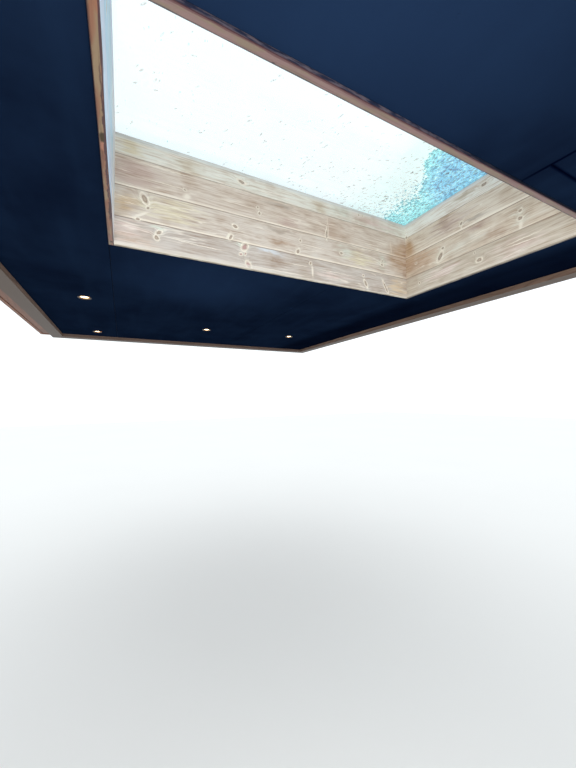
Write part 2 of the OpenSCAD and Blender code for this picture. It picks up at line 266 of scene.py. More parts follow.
def fade(tree, value, start, end, low=0.0, high=1.0):
    """Goes smoothly from low to high while the value goes from start to end."""
    step = tree.nodes.new("ShaderNodeMapRange")
    step.interpolation_type = "SMOOTHSTEP"
    for socket, number in zip(step.inputs, (value, start, end, low, high)):
        plug(tree, socket, number)
    return step.outputs[0]


def mix(tree, amount, first, second, mode="MIX"):
    """Blend two colours."""
    step = tree.nodes.new("ShaderNodeMix")
    step.data_type = "RGBA"
    step.blend_type = mode
    for index, value in ((0, amount), (6, first), (7, second)):
        plug(tree, step.inputs[index], value)
    return step.outputs[2]


def lay(tree, under, tone, value, start, end, most=1.0, mode="MIX"):
    """A tone laid over a colour, more and more while the value goes from start to end."""
    return mix(tree, fade(tree, value, start, end, 0.0, most), under, tone, mode)


# %% What the shader gets
def show(tree, shader, colour):
    """Give the shader its colour."""
    plug(tree, shader.inputs["Base Color"], colour)


def relief(tree, shader, height, distance, strength=1.0):
    """Bump on a shader, with the distance in metres."""
    step = tree.nodes.new("ShaderNodeBump")
    for label, value in (("Height", height), ("Distance", distance), ("Strength", strength)):
        plug(tree, step.inputs[label], value)
    tree.links.new(step.outputs[0], shader.inputs["Normal"])


def wear(title, finish, *labels):
    """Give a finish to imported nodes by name."""
    for label in labels:
        mesh = nodes[label].data
        mesh.materials.clear()
        mesh.materials.append(finish)
    print(f"{title}: {len(labels)} nodes")


def two_tone(name, roughness, first, second, scale, detail=2.0, stretched=None, sharp=None, **sockets):
    """Two colours in soft patches. Stretched scales the pattern, and sharp is where it changes tone."""
    finish, tree, shader = start_finish(name, roughness, **sockets)
    place = place_on(tree)
    patch = noise(tree, stretch(tree, place, stretched) if stretched else place, scale, detail)
    show(tree, shader, mix(tree, fade(tree, patch, *sharp) if sharp else patch, first, second))
    return finish


# %% [markdown]
# ## Brushed and scorched pine
# The well's boards were run over with a flame and a wire brush, then washed pale. What is left is
# a soft cream grey with mauve and brown shadows along the grain, and round each knot a ring of
# bare cream wood. Every board comes from another log, so we number the boards by height and give
# each its own tone. The tones also hold painted light: on the far and right sides they grow
# lighter upward, and on the left side they are a pale blue painted reflection of the sky. Marks
# have their place on the real boards, so we list them, in metres along the side and over the wall
# plates: knots, cream wisps where the brush bit deeper, and tinges where the flame stayed longer.
# On the left side the tinges are painted sky sheen instead. A mark is an oval with a height, a
# width and a lean in degrees.

# %% Knots
far_knots = [
    (-0.754, 0.257, 0.036, 0.019, -30), (-0.740, 0.219, 0.010, 0.011, 0), (-0.782, 0.155, 0.009, 0.015, 0),
    (-0.691, 0.112, 0.012, 0.020, -30), (-0.702, 0.084, 0.018, 0.013, -30), (-0.574, 0.354, 0.007, 0.010, 0),
    (-0.284, 0.484, 0.014, 0.030, 15), (-0.320, 0.232, 0.014, 0.020, 15), (-0.344, 0.168, 0.022, 0.012, 30),
    (-0.191, 0.368, 0.009, 0.010, 0), (-0.182, 0.338, 0.012, 0.011, -30), (-0.268, 0.132, 0.032, 0.022, 30),
    (-0.289, 0.089, 0.010, 0.013, -30), (-0.264, 0.094, 0.012, 0.006, 15), (-0.247, 0.038, 0.030, 0.018, -30),
    (0.073, 0.241, 0.012, 0.010, 0), (0.056, 0.174, 0.022, 0.014, 30), (0.258, 0.322, 0.040, 0.008, 0),
    (0.139, 0.118, 0.014, 0.010, 30), (0.366, 0.225, 0.013, 0.016, 0), (0.699, 0.212, 0.011, 0.016, 0),
    (0.705, 0.240, 0.009, 0.009, 0), (0.536, 0.112, 0.010, 0.010, 0), (0.555, 0.062, 0.034, 0.013, -30),
    (0.726, 0.062, 0.060, 0.011, -30), (0.510, 0.506, 0.006, 0.010, 0), (0.540, 0.508, 0.005, 0.009, 0),
]
right_knots = [
    (-0.814, 0.489, 0.013, 0.026, 0), (-0.673, 0.339, 0.016, 0.013, 15), (-0.984, 0.247, 0.013, 0.013, 0),
    (-0.982, 0.208, 0.016, 0.017, 15), (-0.546, 0.246, 0.011, 0.015, 0), (-0.526, 0.200, 0.042, 0.022, 30),
    (-0.769, 0.081, 0.017, 0.023, 0), (-0.363, 0.088, 0.011, 0.010, 0), (-0.342, 0.232, 0.009, 0.009, 0),
    (-0.744, 0.132, 0.006, 0.008, 0), (-0.267, 0.444, 0.016, 0.012, 0),
]
left_knots = [
    (-1.020, 0.240, 0.018, 0.014, 15), (-0.640, 0.360, 0.015, 0.013, 0), (-0.420, 0.100, 0.018, 0.016, 0),
]
near_knots = [
    (-0.620, 0.230, 0.018, 0.014, 15), (-0.600, 0.190, 0.012, 0.012, 0), (-0.150, 0.080, 0.022, 0.016, -30),
    (0.210, 0.370, 0.015, 0.015, 15), (0.480, 0.210, 0.020, 0.015, -30), (0.730, 0.110, 0.012, 0.011, 0),
    (0.050, 0.480, 0.011, 0.013, 0),
]

# %% Cream wisps along the grain
far_wisps = [
    (-0.846, 0.368, 0.003, 0.060, 0), (-0.656, 0.356, 0.004, 0.160, 0), (-0.565, 0.322, 0.030, 0.036, -30),
    (-0.820, 0.300, 0.006, 0.110, 0), (-0.850, 0.245, 0.004, 0.050, 3), (-0.815, 0.222, 0.004, 0.045, 3),
    (-0.768, 0.180, 0.014, 0.074, -30), (-0.588, 0.094, 0.005, 0.150, 3), (-0.470, 0.089, 0.004, 0.180, 0),
    (-0.734, 0.508, 0.004, 0.130, 0), (-0.329, 0.436, 0.005, 0.200, 0), (-0.288, 0.357, 0.003, 0.180, 0),
    (-0.062, 0.300, 0.006, 0.330, 0), (0.053, 0.363, 0.004, 0.105, -3), (0.222, 0.372, 0.004, 0.085, -3),
    (0.180, 0.222, 0.004, 0.200, 0), (0.060, 0.094, 0.004, 0.130, 0), (-0.060, 0.036, 0.005, 0.320, 0),
    (0.530, 0.292, 0.007, 0.340, 0), (0.311, 0.094, 0.004, 0.260, 0), (0.152, 0.074, 0.072, 0.014, -3),
    (0.252, 0.345, 0.080, 0.005, 15), (0.272, 0.341, 0.085, 0.005, -3), (0.264, 0.404, 0.056, 0.004, 0),
    (-0.356, 0.172, 0.046, 0.016, 30), (-0.262, 0.478, 0.012, 0.030, -30), (0.610, 0.330, 0.004, 0.150, 0),
    (0.785, 0.345, 0.090, 0.006, -3), (0.690, 0.226, 0.040, 0.006, 0),
    (-0.660, 0.427, 0.007, 0.280, 0),
]
right_wisps = [
    (-0.853, 0.305, 0.013, 0.340, 0), (-0.470, 0.301, 0.006, 0.400, 0), (-0.990, 0.102, 0.006, 0.200, -3),
    (-0.980, 0.084, 0.005, 0.170, 3), (-0.822, 0.235, 0.005, 0.270, 0), (-0.690, 0.203, 0.004, 0.160, -3),
    (-0.442, 0.096, 0.004, 0.150, 3), (-0.983, 0.174, 0.040, 0.020, 15), (-0.672, 0.312, 0.026, 0.012, 15),
    (-0.792, 0.388, 0.012, 0.018, 0), (-0.890, 0.436, 0.004, 0.240, 0), (-0.560, 0.100, 0.004, 0.130, 0),
]

# %% Tinges from the flame, and painted sky sheen on the left side
rose_brown = paint(198, 176, 166)
brown_tinge = paint(196, 174, 156)
grey_brown = paint(186, 174, 162)
olive_brown = paint(206, 196, 176)
amber_tinge = paint(218, 198, 168)
amber_brown = paint(206, 178, 152)
straw_tinge = paint(228, 221, 194)
rose_tinge = paint(228, 214, 208)
mint_tinge = paint(223, 229, 220)
cream_tinge = paint(228, 225, 214)
blue_tinge = paint(220, 228, 238)
far_tinges = [
    (-0.790, 0.365, 0.190, 0.280, rose_brown), (-0.560, 0.480, 0.160, 0.150, olive_brown),
    (0.208, 0.480, 0.130, 0.130, olive_brown), (-0.812, 0.490, 0.120, 0.120, straw_tinge),
    (-0.055, 0.416, 0.060, 0.210, grey_brown), (-0.010, 0.318, 0.080, 0.180, rose_brown),
    (0.300, 0.350, 0.160, 0.260, brown_tinge), (-0.640, 0.235, 0.150, 0.360, straw_tinge),
    (-0.845, 0.215, 0.100, 0.130, amber_tinge), (-0.050, 0.268, 0.040, 0.240, grey_brown),
    (-0.050, 0.200, 0.036, 0.260, brown_tinge), (0.395, 0.250, 0.110, 0.170, mint_tinge),
    (0.520, 0.212, 0.120, 0.230, straw_tinge), (0.703, 0.228, 0.120, 0.100, mint_tinge),
    (-0.820, 0.085, 0.160, 0.210, rose_tinge), (-0.700, 0.140, 0.030, 0.090, mint_tinge),
    (-0.105, 0.140, 0.050, 0.190, blue_tinge), (-0.288, 0.140, 0.036, 0.080, mint_tinge),
    (0.085, 0.110, 0.070, 0.200, grey_brown), (-0.050, 0.098, 0.012, 0.400, grey_brown),
    (0.850, 0.080, 0.200, 0.240, amber_tinge), (0.620, 0.485, 0.120, 0.500, rose_tinge),
    (0.370, 0.485, 0.120, 0.220, mint_tinge), (0.300, 0.075, 0.060, 0.300, rose_tinge),
    (-0.790, 0.058, 0.050, 0.240, brown_tinge), (0.110, 0.045, 0.070, 0.170, grey_brown),
    (0.470, 0.038, 0.060, 0.260, grey_brown),
]
right_tinges = [
    (-0.592, 0.372, 0.180, 0.260, rose_brown), (-0.740, 0.331, 0.034, 0.150, grey_brown),
    (-0.852, 0.190, 0.070, 0.290, brown_tinge), (-0.750, 0.282, 0.060, 0.220, rose_brown),
    (-0.660, 0.205, 0.140, 0.300, cream_tinge), (-0.982, 0.215, 0.160, 0.110, cream_tinge),
    (-0.950, 0.070, 0.100, 0.320, rose_tinge), (-0.560, 0.100, 0.090, 0.300, rose_tinge),
    (-0.380, 0.235, 0.160, 0.300, amber_brown), (-0.700, 0.495, 0.060, 0.140, olive_brown),
    (-0.290, 0.370, 0.160, 0.070, amber_tinge),
]
# On the left face the tinges are painted sky sheen: near-white patches that brighten it.
left_painted_sky_sheen = [
    (-0.350, height, 0.300, 0.760, paint(255, 250, 244)) for height in (0.085, 0.222, 0.367, 0.485)
]

# %% Ovals on a sheet, and uneven outlines
def nearest_oval(tree, sheet, ovals, mirrored=False):
    """Distance to the nearest oval on a flat sheet, where 1 is its rim. One turn serves each lean."""
    turned = {0: sheet}
    nearest = 9.0
    for run, height, high, wide, lean in ovals:
        angle = math.radians(lean if mirrored else -lean)
        if lean not in turned:
            turn = tree.nodes.new("ShaderNodeVectorRotate")
            turn.rotation_type = "Z_AXIS"
            plug(tree, turn.inputs["Vector"], sheet)
            plug(tree, turn.inputs["Angle"], -angle)
            turned[lean] = turn.outputs[0]
        middle_run = run * math.cos(angle) + height * math.sin(angle)
        middle_height = height * math.cos(angle) - run * math.sin(angle)
        scale = (2 / wide, 2 / high, 0.0)
        shift = (-middle_run * scale[0], -middle_height * scale[1], 0.0)
        reach = vector_calc(tree, "LENGTH", stretch(tree, turned[lean], scale, shift))
        nearest = calc(tree, "MINIMUM", nearest, reach)
    return nearest


def shake(tree, place, scale, amount):
    """The same place, moved a little by noise, which makes outlines uneven."""
    rough = tree.nodes.new("ShaderNodeTexNoise")
    plug(tree, rough.inputs["Vector"], place)
    plug(tree, rough.inputs["Scale"], scale)
    moved = stretch(tree, rough.outputs["Color"], (amount,) * 3, (-amount / 2,) * 3)
    return vector_calc(tree, "ADD", place, moved)


# %% Boards and their logs
board_cover = 0.145
first_joint = lining_foot + 0.130


def board_number(tree, height):
    """Counts the boards upward from 0, so that each can have its own log."""
    boards_up = calc(tree, "DIVIDE", calc(tree, "SUBTRACT", height, first_joint), board_cover)
    return calc(tree, "ADD", calc(tree, "FLOOR", boards_up), 1.0)


def board_tone(tree, number, tones):
    """One colour for each board, from the lowest up."""
    ramp = tree.nodes.new("ShaderNodeValToRGB")
    ramp.color_ramp.interpolation = "CONSTANT"
    while len(ramp.color_ramp.elements) < len(tones):
        ramp.color_ramp.elements.new(0.5)
    for index, tone in enumerate(tones):
        ramp.color_ramp.elements[index].position = index / len(tones)
        ramp.color_ramp.elements[index].color = tone
    plug(tree, ramp.inputs[0], calc(tree, "DIVIDE", calc(tree, "ADD", number, 0.5), len(tones)))
    return ramp.outputs[0]


def chance(tree, number, seed):
    """One random value for each whole number."""
    step = tree.nodes.new("ShaderNodeTexWhiteNoise")
    step.noise_dimensions = "1D"
    plug(tree, step.inputs["W"], calc(tree, "ADD", number, seed))
    return step.outputs["Value"]


# %% Grain, from broad clouds to single threads
def growth_rings(tree, fibre, straight, bend, push=0.0):
    """Grain lines: even lines along the board, bent into flames by slow noise. 1 is on a line."""
    up = split(tree, fibre)[1]
    slow = noise(tree, stretch(tree, fibre, (0.9, 5.0, 1.0)), 1.0, 2.0, 0.45)
    phase = calc(tree, "ADD", times(tree, up, straight), times(tree, slow, bend))
    return fade(tree, calc(tree, "PINGPONG", calc(tree, "ADD", phase, push), 0.5), 0.25, 0.5)


def flame_lines(tree, fibre):
    """Thin cream lines that wander along the grain here and there."""
    field = noise(tree, stretch(tree, fibre, (2.0, 24.0, 1.0)), 1.0, 3.0, 0.5)
    line = fade(tree, calc(tree, "ABSOLUTE", calc(tree, "SUBTRACT", field, 0.5)), 0.020, 0.003)
    where = fade(tree, noise(tree, stretch(tree, fibre, (2.4, 14.0, 3.0)), 1.0, 2.0), 0.48, 0.62)
    return times(tree, line, where)


def pine_grain(tree, run, height, log, knot):
    """All patterns of one side by name. The fibre swerves round the knots, and the threads don't."""
    swerve = times(tree, fade(tree, knot, 1.0, 4.5, 1.0, 0.0), 0.010)
    fibre = join(tree, run, calc(tree, "ADD", height, swerve), log)
    level = join(tree, run, height, log)
    return {
        "cloud": noise(tree, stretch(tree, fibre, (2.4, 12.0, 1.0)), 1.0, 4.0, 0.6),
        "scorch": noise(tree, stretch(tree, fibre, (8.0, 9.0, 1.0), (0.0, 5.0, 0.0)), 1.0, 2.0),
        "figure": noise(tree, stretch(tree, fibre, (7.0, 62.0, 2.0), (9.0, 0.0, 0.0)), 1.0, 4.0, 0.6),
        "streak": noise(tree, stretch(tree, fibre, (7.0, 150.0, 1.0)), 1.0, 3.0, 0.6),
        "thread": noise(tree, stretch(tree, level, (11.0, 330.0, 1.0)), 1.0, 2.0),
        "rings": growth_rings(tree, fibre, 60.0, 15.0, fade(tree, knot, 0.8, 5.0, 1.6, 0.0)),
        "flames": flame_lines(tree, fibre),
    }


# %% Flame and brush
def tinged(tree, colour, number, sheet, figure, tinges):
    """Flame tinges with ragged ends, each kept to its own board. On the left side they are painted sky sheen.
    """
    soft = shake(tree, sheet, 16.0, 0.060)
    uneven = fade(tree, figure, 0.32, 0.64, -0.42, 0.42)
    for run, height, high, wide, tinge in tinges:
        spread = nearest_oval(tree, soft, [(run, height, high, wide, 0)])
        spread = calc(tree, "ADD", spread, uneven)
        board = math.floor((height - first_joint) / board_cover) + 1
        on_board = calc(tree, "COMPARE", number, board, 0.1)
        amount = times(tree, fade(tree, spread, 1.2, -0.1), on_board)
        colour = mix(tree, amount, colour, tinge)
    return colour


def brush_out(tree, colour, pattern, shadow, dark, lift, pale):
    """Shadow where a pattern is high, a lift where it is low. Dark and pale are start, end and most."""
    colour = lay(tree, colour, shadow, pattern, *dark, "MULTIPLY")
    return lay(tree, colour, lift, pattern, *pale, "SCREEN")


def brushed(tree, colour, grain, shadow):
    """Everything that the brush left, from broad shadows to fine cream lines."""
    faint_lift = (0.09, 0.12, 0.12, 1.0)
    soft_lift = (0.16, 0.16, 0.15, 1.0)
    lift = (0.22, 0.21, 0.19, 1.0)
    for name, dark, raised, pale in (
        ("scorch", (0.50, 0.74, 0.76), faint_lift, (0.48, 0.28, 0.70)),
        ("cloud", (0.50, 0.76, 0.64), soft_lift, (0.48, 0.26, 0.75)),
        ("figure", (0.50, 0.76, 1.00), lift, (0.48, 0.24, 0.80)),
    ):
        colour = brush_out(tree, colour, grain[name], shadow, dark, raised, pale)
    faint = times(tree, grain["rings"], fade(tree, grain["cloud"], 0.35, 0.60, 0.10, 0.45))
    colour = mix(tree, faint, colour, shadow, "MULTIPLY")
    colour = brush_out(tree, colour, grain["streak"], shadow, (0.48, 0.70, 1.00), lift, (0.46, 0.24, 0.90))
    colour = lay(tree, colour, shadow, grain["thread"], 0.45, 0.75, 0.42, "MULTIPLY")
    return mix(tree, times(tree, grain["flames"], 0.50), colour, paint(250, 244, 234))


# %% Joints and knots
rosy_knots = (-0.262, well_far, 0.085)


def worn_at_joints(tree, colour, height, number, grain, shares):
    """A cream arris over each joint and a brown groove in it. The shares say how worn each one is."""
    over = calc(tree, "SUBTRACT", height, first_joint - board_cover / 2)
    over = calc(tree, "SUBTRACT", calc(tree, "FLOORED_MODULO", over, board_cover), board_cover / 2)
    worn = times(tree, fade(tree, over, 0.016, 0.006), fade(tree, over, 0.001, 0.004))
    worn = times(tree, worn, fade(tree, grain["cloud"], 0.66, 0.44))
    share = board_tone(tree, number, [(value, value, value, 1.0) for value in (0.0, *shares)])
    colour = mix(tree, times(tree, worn, share), colour, paint(248, 240, 226))
    groove = fade(tree, calc(tree, "ABSOLUTE", over), 0.0030, 0.0012)
    groove = times(tree, groove, fade(tree, grain["figure"], 0.30, 0.55, 0.30, 0.75))
    return mix(tree, groove, colour, paint(140, 118, 104))


def knotted(tree, colour, place, knot, figure):
    """Bare wood and a cream ring round each knot, and its brown eye. Two eyes are rosy."""
    colour = lay(tree, colour, paint(234, 234, 222), knot, 3.2, 2.0, 0.25)
    colour = lay(tree, colour, paint(220, 206, 188), knot, 1.95, 1.60, 0.45)
    ring = times(tree, fade(tree, knot, 2.10, 1.80), fade(tree, knot, 1.30, 1.55))
    ring = times(tree, ring, fade(tree, figure, 0.34, 0.58, 0.90, 0.35))
    colour = mix(tree, ring, colour, paint(252, 246, 234))
    eye = lay(tree, paint(180, 164, 148), paint(142, 122, 106), knot, 0.35, 0.95)
    from_rosy = vector_calc(tree, "DISTANCE", place, rosy_knots)
    eye = lay(tree, eye, paint(188, 152, 148), from_rosy, 0.065, 0.050)
    return lay(tree, colour, eye, knot, 1.20, 0.80, 0.88)


# %% The stained corner, and painted sky light under the glass
stain_middle = Vector((well_right, well_far, 0.290))
stain_reach = (0.19, 0.13, 0.14)


def stained(tree, colour, place, height, figure):
    """A tea-brown stain in the far right corner, and painted blue sky light along the top."""
    scale = tuple(1 / reach for reach in stain_reach)
    shift = tuple(-middle * size for middle, size in zip(stain_middle, scale))
    reach = vector_calc(tree, "LENGTH", stretch(tree, shake(tree, place, 12.0, 0.12), scale, shift))
    damp = times(tree, fade(tree, reach, 1.05, 0.45), fade(tree, figure, 0.30, 0.62, 0.45, 0.95))
    colour = mix(tree, damp, colour, (0.74, 0.57, 0.43, 1.0), "MULTIPLY")
    # Painted light: a blue-grey cast from the sky on the top boards, just under the glass.
    return lay(tree, colour, paint(206, 224, 234), height, 0.508, 0.532, 0.40)


# %% [markdown]
# ## The sawn lower edges
# Under the lowest boards one sees bare, sawn wood, and each side has its own: the far one is
# pale, the left one is rough and red-brown, and ceiling paint has run over the backs. So each
# side has a small table. Pale, warm, dark, back and rim are tones, and rim width is that of the
# worn arris at the face. Line and darkening say how dark the back of the edge is. Bare says how
# much bare wood shows along the foot of the face, up to the height of the band and as far along
# the side as bare end. Painted is where along the side the paint begins. Marks and worn are
# ovals, as before, with a tone in place of a lean. The one worn oval, on the left, is a pale
# blue painted sky sheen.

# %% The underside, the back and the foot of a lowest board
saw_line = (0.0168, 0.0186)
darkening_band = (0.009, 0.016)
back_face = (0.0190, 0.0200)
bare_wood = paint(226, 221, 212)


def sawn_edge(tree, run, inward, edge):
    """The underside of the lowest board. Inward is the distance behind the board's face."""
    under = join(tree, run, inward, 0.0)
    patch = noise(tree, stretch(tree, under, (11.0, 40.0, 1.0)), 1.0, 2.0)
    vein = noise(tree, stretch(tree, under, (5.0, 230.0, 1.0)), 1.0, 3.0)
    sawn = lay(tree, edge["pale"], edge["warm"], patch, 0.42, 0.58)
    sawn = lay(tree, sawn, edge["dark"], vein, 0.48, 0.70, 0.55)
    for run_at, inward_at, wide, long, tone in edge["marks"]:
        mark = nearest_oval(tree, shake(tree, under, 45.0, 0.014), [(run_at, inward_at, wide, long, 0)])
        sawn = lay(tree, sawn, tone, mark, 1.5, 0.7, 0.95)
    wander = calc(tree, "ADD", inward, fade(tree, patch, 0.30, 0.70, -0.0010, 0.0010))
    sawn = lay(tree, sawn, edge["dark"], wander, *saw_line, edge["line"])
    darkening = fade(tree, patch, 0.40, 0.55, 0.0, edge["darkening"])
    sawn = mix(tree, times(tree, fade(tree, wander, *darkening_band), darkening), sawn, edge["dark"])
    rim = edge["rim_width"]
    sawn = lay(tree, sawn, edge["rim"], wander, rim, rim - 0.0015, 0.9)
    for run_at, inward_at, wide, long, tone in edge["worn"]:
        worn = nearest_oval(tree, under, [(run_at, inward_at, wide, long, 0)])
        sawn = lay(tree, sawn, tone, worn, 1.15, 0.80, 0.9)
    return sawn


def sawn_back(tree, run, height, edge):
    """The back of the lowest board where it shows below the ceiling, smeared with ceiling paint."""
    smear = noise(tree, stretch(tree, join(tree, run, height, 0.0), (28.0, 160.0, 1.0)), 1.0, 3.0)
    back = lay(tree, edge["back"], paint(34, 40, 62), smear, 0.42, 0.58)
    back = lay(tree, back, paint(14, 22, 38), run, edge["painted"] - 0.3, edge["painted"] + 0.3)
    return lay(tree, back, edge["dark"], height, lining_foot + 0.0040, lining_foot + 0.0016)


def sawn_foot(tree, colour, run, depth, height, cloud, face, edge):
    """Bare wood along the foot of the face, then the underside and the back of the lowest board."""
    uneven = fade(tree, cloud, 0.30, 0.70, lining_foot - 0.005, lining_foot + 0.005)
    bare = calc(tree, "SUBTRACT", height, uneven)
    bare = fade(tree, bare, edge["band"], edge["band"] - 0.005, 0.0, edge["bare"])
    bare = times(tree, bare, fade(tree, run, edge["bare_end"] + 0.15, edge["bare_end"] - 0.10))
    colour = mix(tree, bare, colour, bare_wood)
    inward = calc(tree, "ABSOLUTE", calc(tree, "SUBTRACT", depth, face))
    sawn = sawn_edge(tree, run, inward, edge)
    colour = lay(tree, colour, sawn, height, lining_foot + 0.0024, lining_foot + 0.0019)
    behind = times(tree, fade(tree, inward, *back_face), fade(tree, height, 0.036, 0.033))
    return mix(tree, behind, colour, sawn_back(tree, run, height, edge))


# %% The lower edge of each side
far_edge = {
    "pale": paint(188, 183, 170), "warm": paint(166, 154, 138), "dark": paint(88, 80, 70),
    "back": paint(118, 108, 98), "rim": paint(210, 202, 190), "rim_width": 0.0045,
    "line": 0.15, "darkening": 0.60, "bare": 0.60, "bare_end": 0.0, "band": 0.021,
    "painted": 0.55, "marks": [], "worn": [],
}
near_edge = {
    "pale": paint(110, 96, 83), "warm": paint(114, 93, 90), "dark": paint(82, 56, 58),
    "back": paint(96, 88, 98), "rim": paint(62, 58, 64), "rim_width": 0.0050,
    "line": 0.90, "darkening": 0.05, "bare": 0.75, "bare_end": 2.0, "band": 0.010, "painted": 0.05,
    "marks": [(-0.560, 0.003, 0.006, 0.012, paint(24, 20, 22))], "worn": [],
}
left_edge = {
    "pale": paint(118, 100, 78), "warm": paint(122, 84, 64), "dark": paint(50, 28, 26),
    "back": paint(88, 68, 60), "rim": paint(56, 32, 42), "rim_width": 0.0050,
    "line": 0.30, "darkening": 0.15, "bare": 0.0, "bare_end": 0.0, "band": 0.010, "painted": 2.0, "marks": [
        (-0.886, 0.012, 0.014, 0.032, paint(44, 32, 10)), (-0.852, 0.012, 0.013, 0.028, paint(146, 100, 82)),
        (-0.806, 0.012, 0.012, 0.024, paint(104, 68, 56)), (-0.520, 0.007, 0.007, 0.110, paint(48, 24, 20)),
        (-0.800, 0.006, 0.006, 0.520, paint(60, 36, 40)), (-0.300, 0.012, 0.012, 0.050, paint(118, 80, 70)),
        (-0.268, 0.008, 0.010, 0.014, paint(30, 10, 10)),
    ],
    # The worn stripe on the left arris is painted sky sheen, pale blue like the face above it.
    "worn": [(-0.850, 0.0, 0.0060, 0.500, paint(168, 190, 210))],
}
right_edge = {
    "pale": paint(132, 124, 114), "warm": paint(100, 92, 86), "dark": paint(60, 52, 50),
    "back": paint(96, 86, 78), "rim": paint(160, 148, 128), "rim_width": 0.0050,
    "line": 0.5, "darkening": 0.80, "bare": 0.38, "bare_end": 2.0, "band": 0.018,
    "painted": 2.0, "marks": [], "worn": [],
}

# %% Brushed pine for one side of the well
def brushed_pine(side, along, face, seed, gloss, tones, shadow, joint_wear, edge, knots, wisps, tinges):
    """Pale, flame-brushed pine. The boards run along X or Y, and face is where their front is."""
    finish, tree, shader = start_finish(f"brushed_pine_{side}", gloss, Specular_IOR_Level=0.35)
    place = place_on(tree)
    x, y, height = split(tree, place)
    run, depth = (x, y) if along == "X" else (y, x)
    mirrored = along == "Y"
    number = board_number(tree, height)
    log = times(tree, chance(tree, number, seed), 7.0)
    sheet = join(tree, run, height, seed)
    knot = nearest_oval(tree, shake(tree, sheet, 80.0, 0.011), knots, mirrored)
    grain = pine_grain(tree, run, height, log, knot)

    colour = board_tone(tree, number, tones)
    colour = tinged(tree, colour, number, sheet, grain["figure"], tinges)
    colour = brushed(tree, colour, grain, shadow)
    if wisps:
        wisp = nearest_oval(tree, shake(tree, sheet, 45.0, 0.010), wisps, mirrored)
        colour = lay(tree, colour, paint(248, 242, 230), wisp, 1.5, 0.3, 0.72)
    colour = worn_at_joints(tree, colour, height, number, grain, joint_wear)
    colour = knotted(tree, colour, place, knot, grain["figure"])
    colour = stained(tree, colour, place, height, grain["figure"])
    colour = sawn_foot(tree, colour, run, depth, height, grain["cloud"], face, edge)
    show(tree, shader, colour)
    relief(tree, shader, grain["thread"], 0.0004, 0.5)
    return finish


# %% Finish the four sides
# Each tone is partly the board's own wood and partly painted light: on the far and right sides the tones grow
# lighter upward, against the floor light that brightens the lowest boards.
far_tones = (paint(202, 195, 189), paint(220, 212, 203), paint(221, 211, 200), paint(236, 238, 230))
near_tones = (paint(214, 204, 192), paint(216, 206, 190), paint(212, 202, 188), paint(222, 220, 208))
right_tones = (paint(208, 199, 185), paint(228, 218, 203), paint(236, 227, 213), paint(254, 255, 249))
# The left tones are a pale blue painted reflection of the sky, and cool_shadow is kept light so that this
# painted sheen stays bright.
left_tones_painted_sky_sheen = (paint(198, 221, 250), paint(177, 225, 255), paint(182, 229, 255), paint(198, 220, 255))
warm_shadow = (0.79, 0.715, 0.66, 1.0)
cool_shadow = (0.86, 0.88, 0.90, 1.0)
sides = {
    "far": {
        "along": "X", "face": well_far, "seed": 3.0, "gloss": 0.55, "tones": far_tones,
        "shadow": warm_shadow, "joint_wear": (0.75, 0.65, 0.15), "edge": far_edge,
        "knots": far_knots, "wisps": far_wisps, "tinges": far_tinges,
    },
    "near": {
        "along": "X", "face": well_near, "seed": 11.0, "gloss": 0.50, "tones": near_tones,
        "shadow": warm_shadow, "joint_wear": (0.6, 0.4, 0.6), "edge": near_edge,
        "knots": near_knots, "wisps": [], "tinges": [],
    },
    "left": {
        "along": "Y", "face": well_left, "seed": 17.0, "gloss": 0.38, "tones": left_tones_painted_sky_sheen,
        "shadow": cool_shadow, "joint_wear": (0.4, 0.3, 0.4), "edge": left_edge,
        "knots": left_knots, "wisps": [], "tinges": left_painted_sky_sheen,
    },
    "right": {
        "along": "Y", "face": well_right, "seed": 29.0, "gloss": 0.55, "tones": right_tones,
        "shadow": warm_shadow, "joint_wear": (0.1, 0.9, 0.2), "edge": right_edge,
        "knots": right_knots, "wisps": right_wisps, "tinges": right_tinges,
    },
}
for side, recipe in sides.items():
    wear(f"brushed pine, {side} side", brushed_pine(side, **recipe), f"lining_{side}")

# %% [markdown]
# ## Navy ceiling paint
# Dead matt paint from a roller has a faint orange-peel texture and no sheen at all, so the gloss
# is off. In front of the well and beyond it, painted pools of light show a lighter blue, and
# to the right of the well painted shade makes it nearly black. Painted shade also darkens the
# two open joints in front of the well.

# %% Paint the ceiling sheets
painted_light_pools = ((-0.55, -1.60, 0.90, 0.75), (-0.36, 0.10, 0.75, 0.50))
sheet_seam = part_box("ceiling_middle")[1].x + 0.001
cross_joint = well_near - 0.105
joint_reach = 0.010


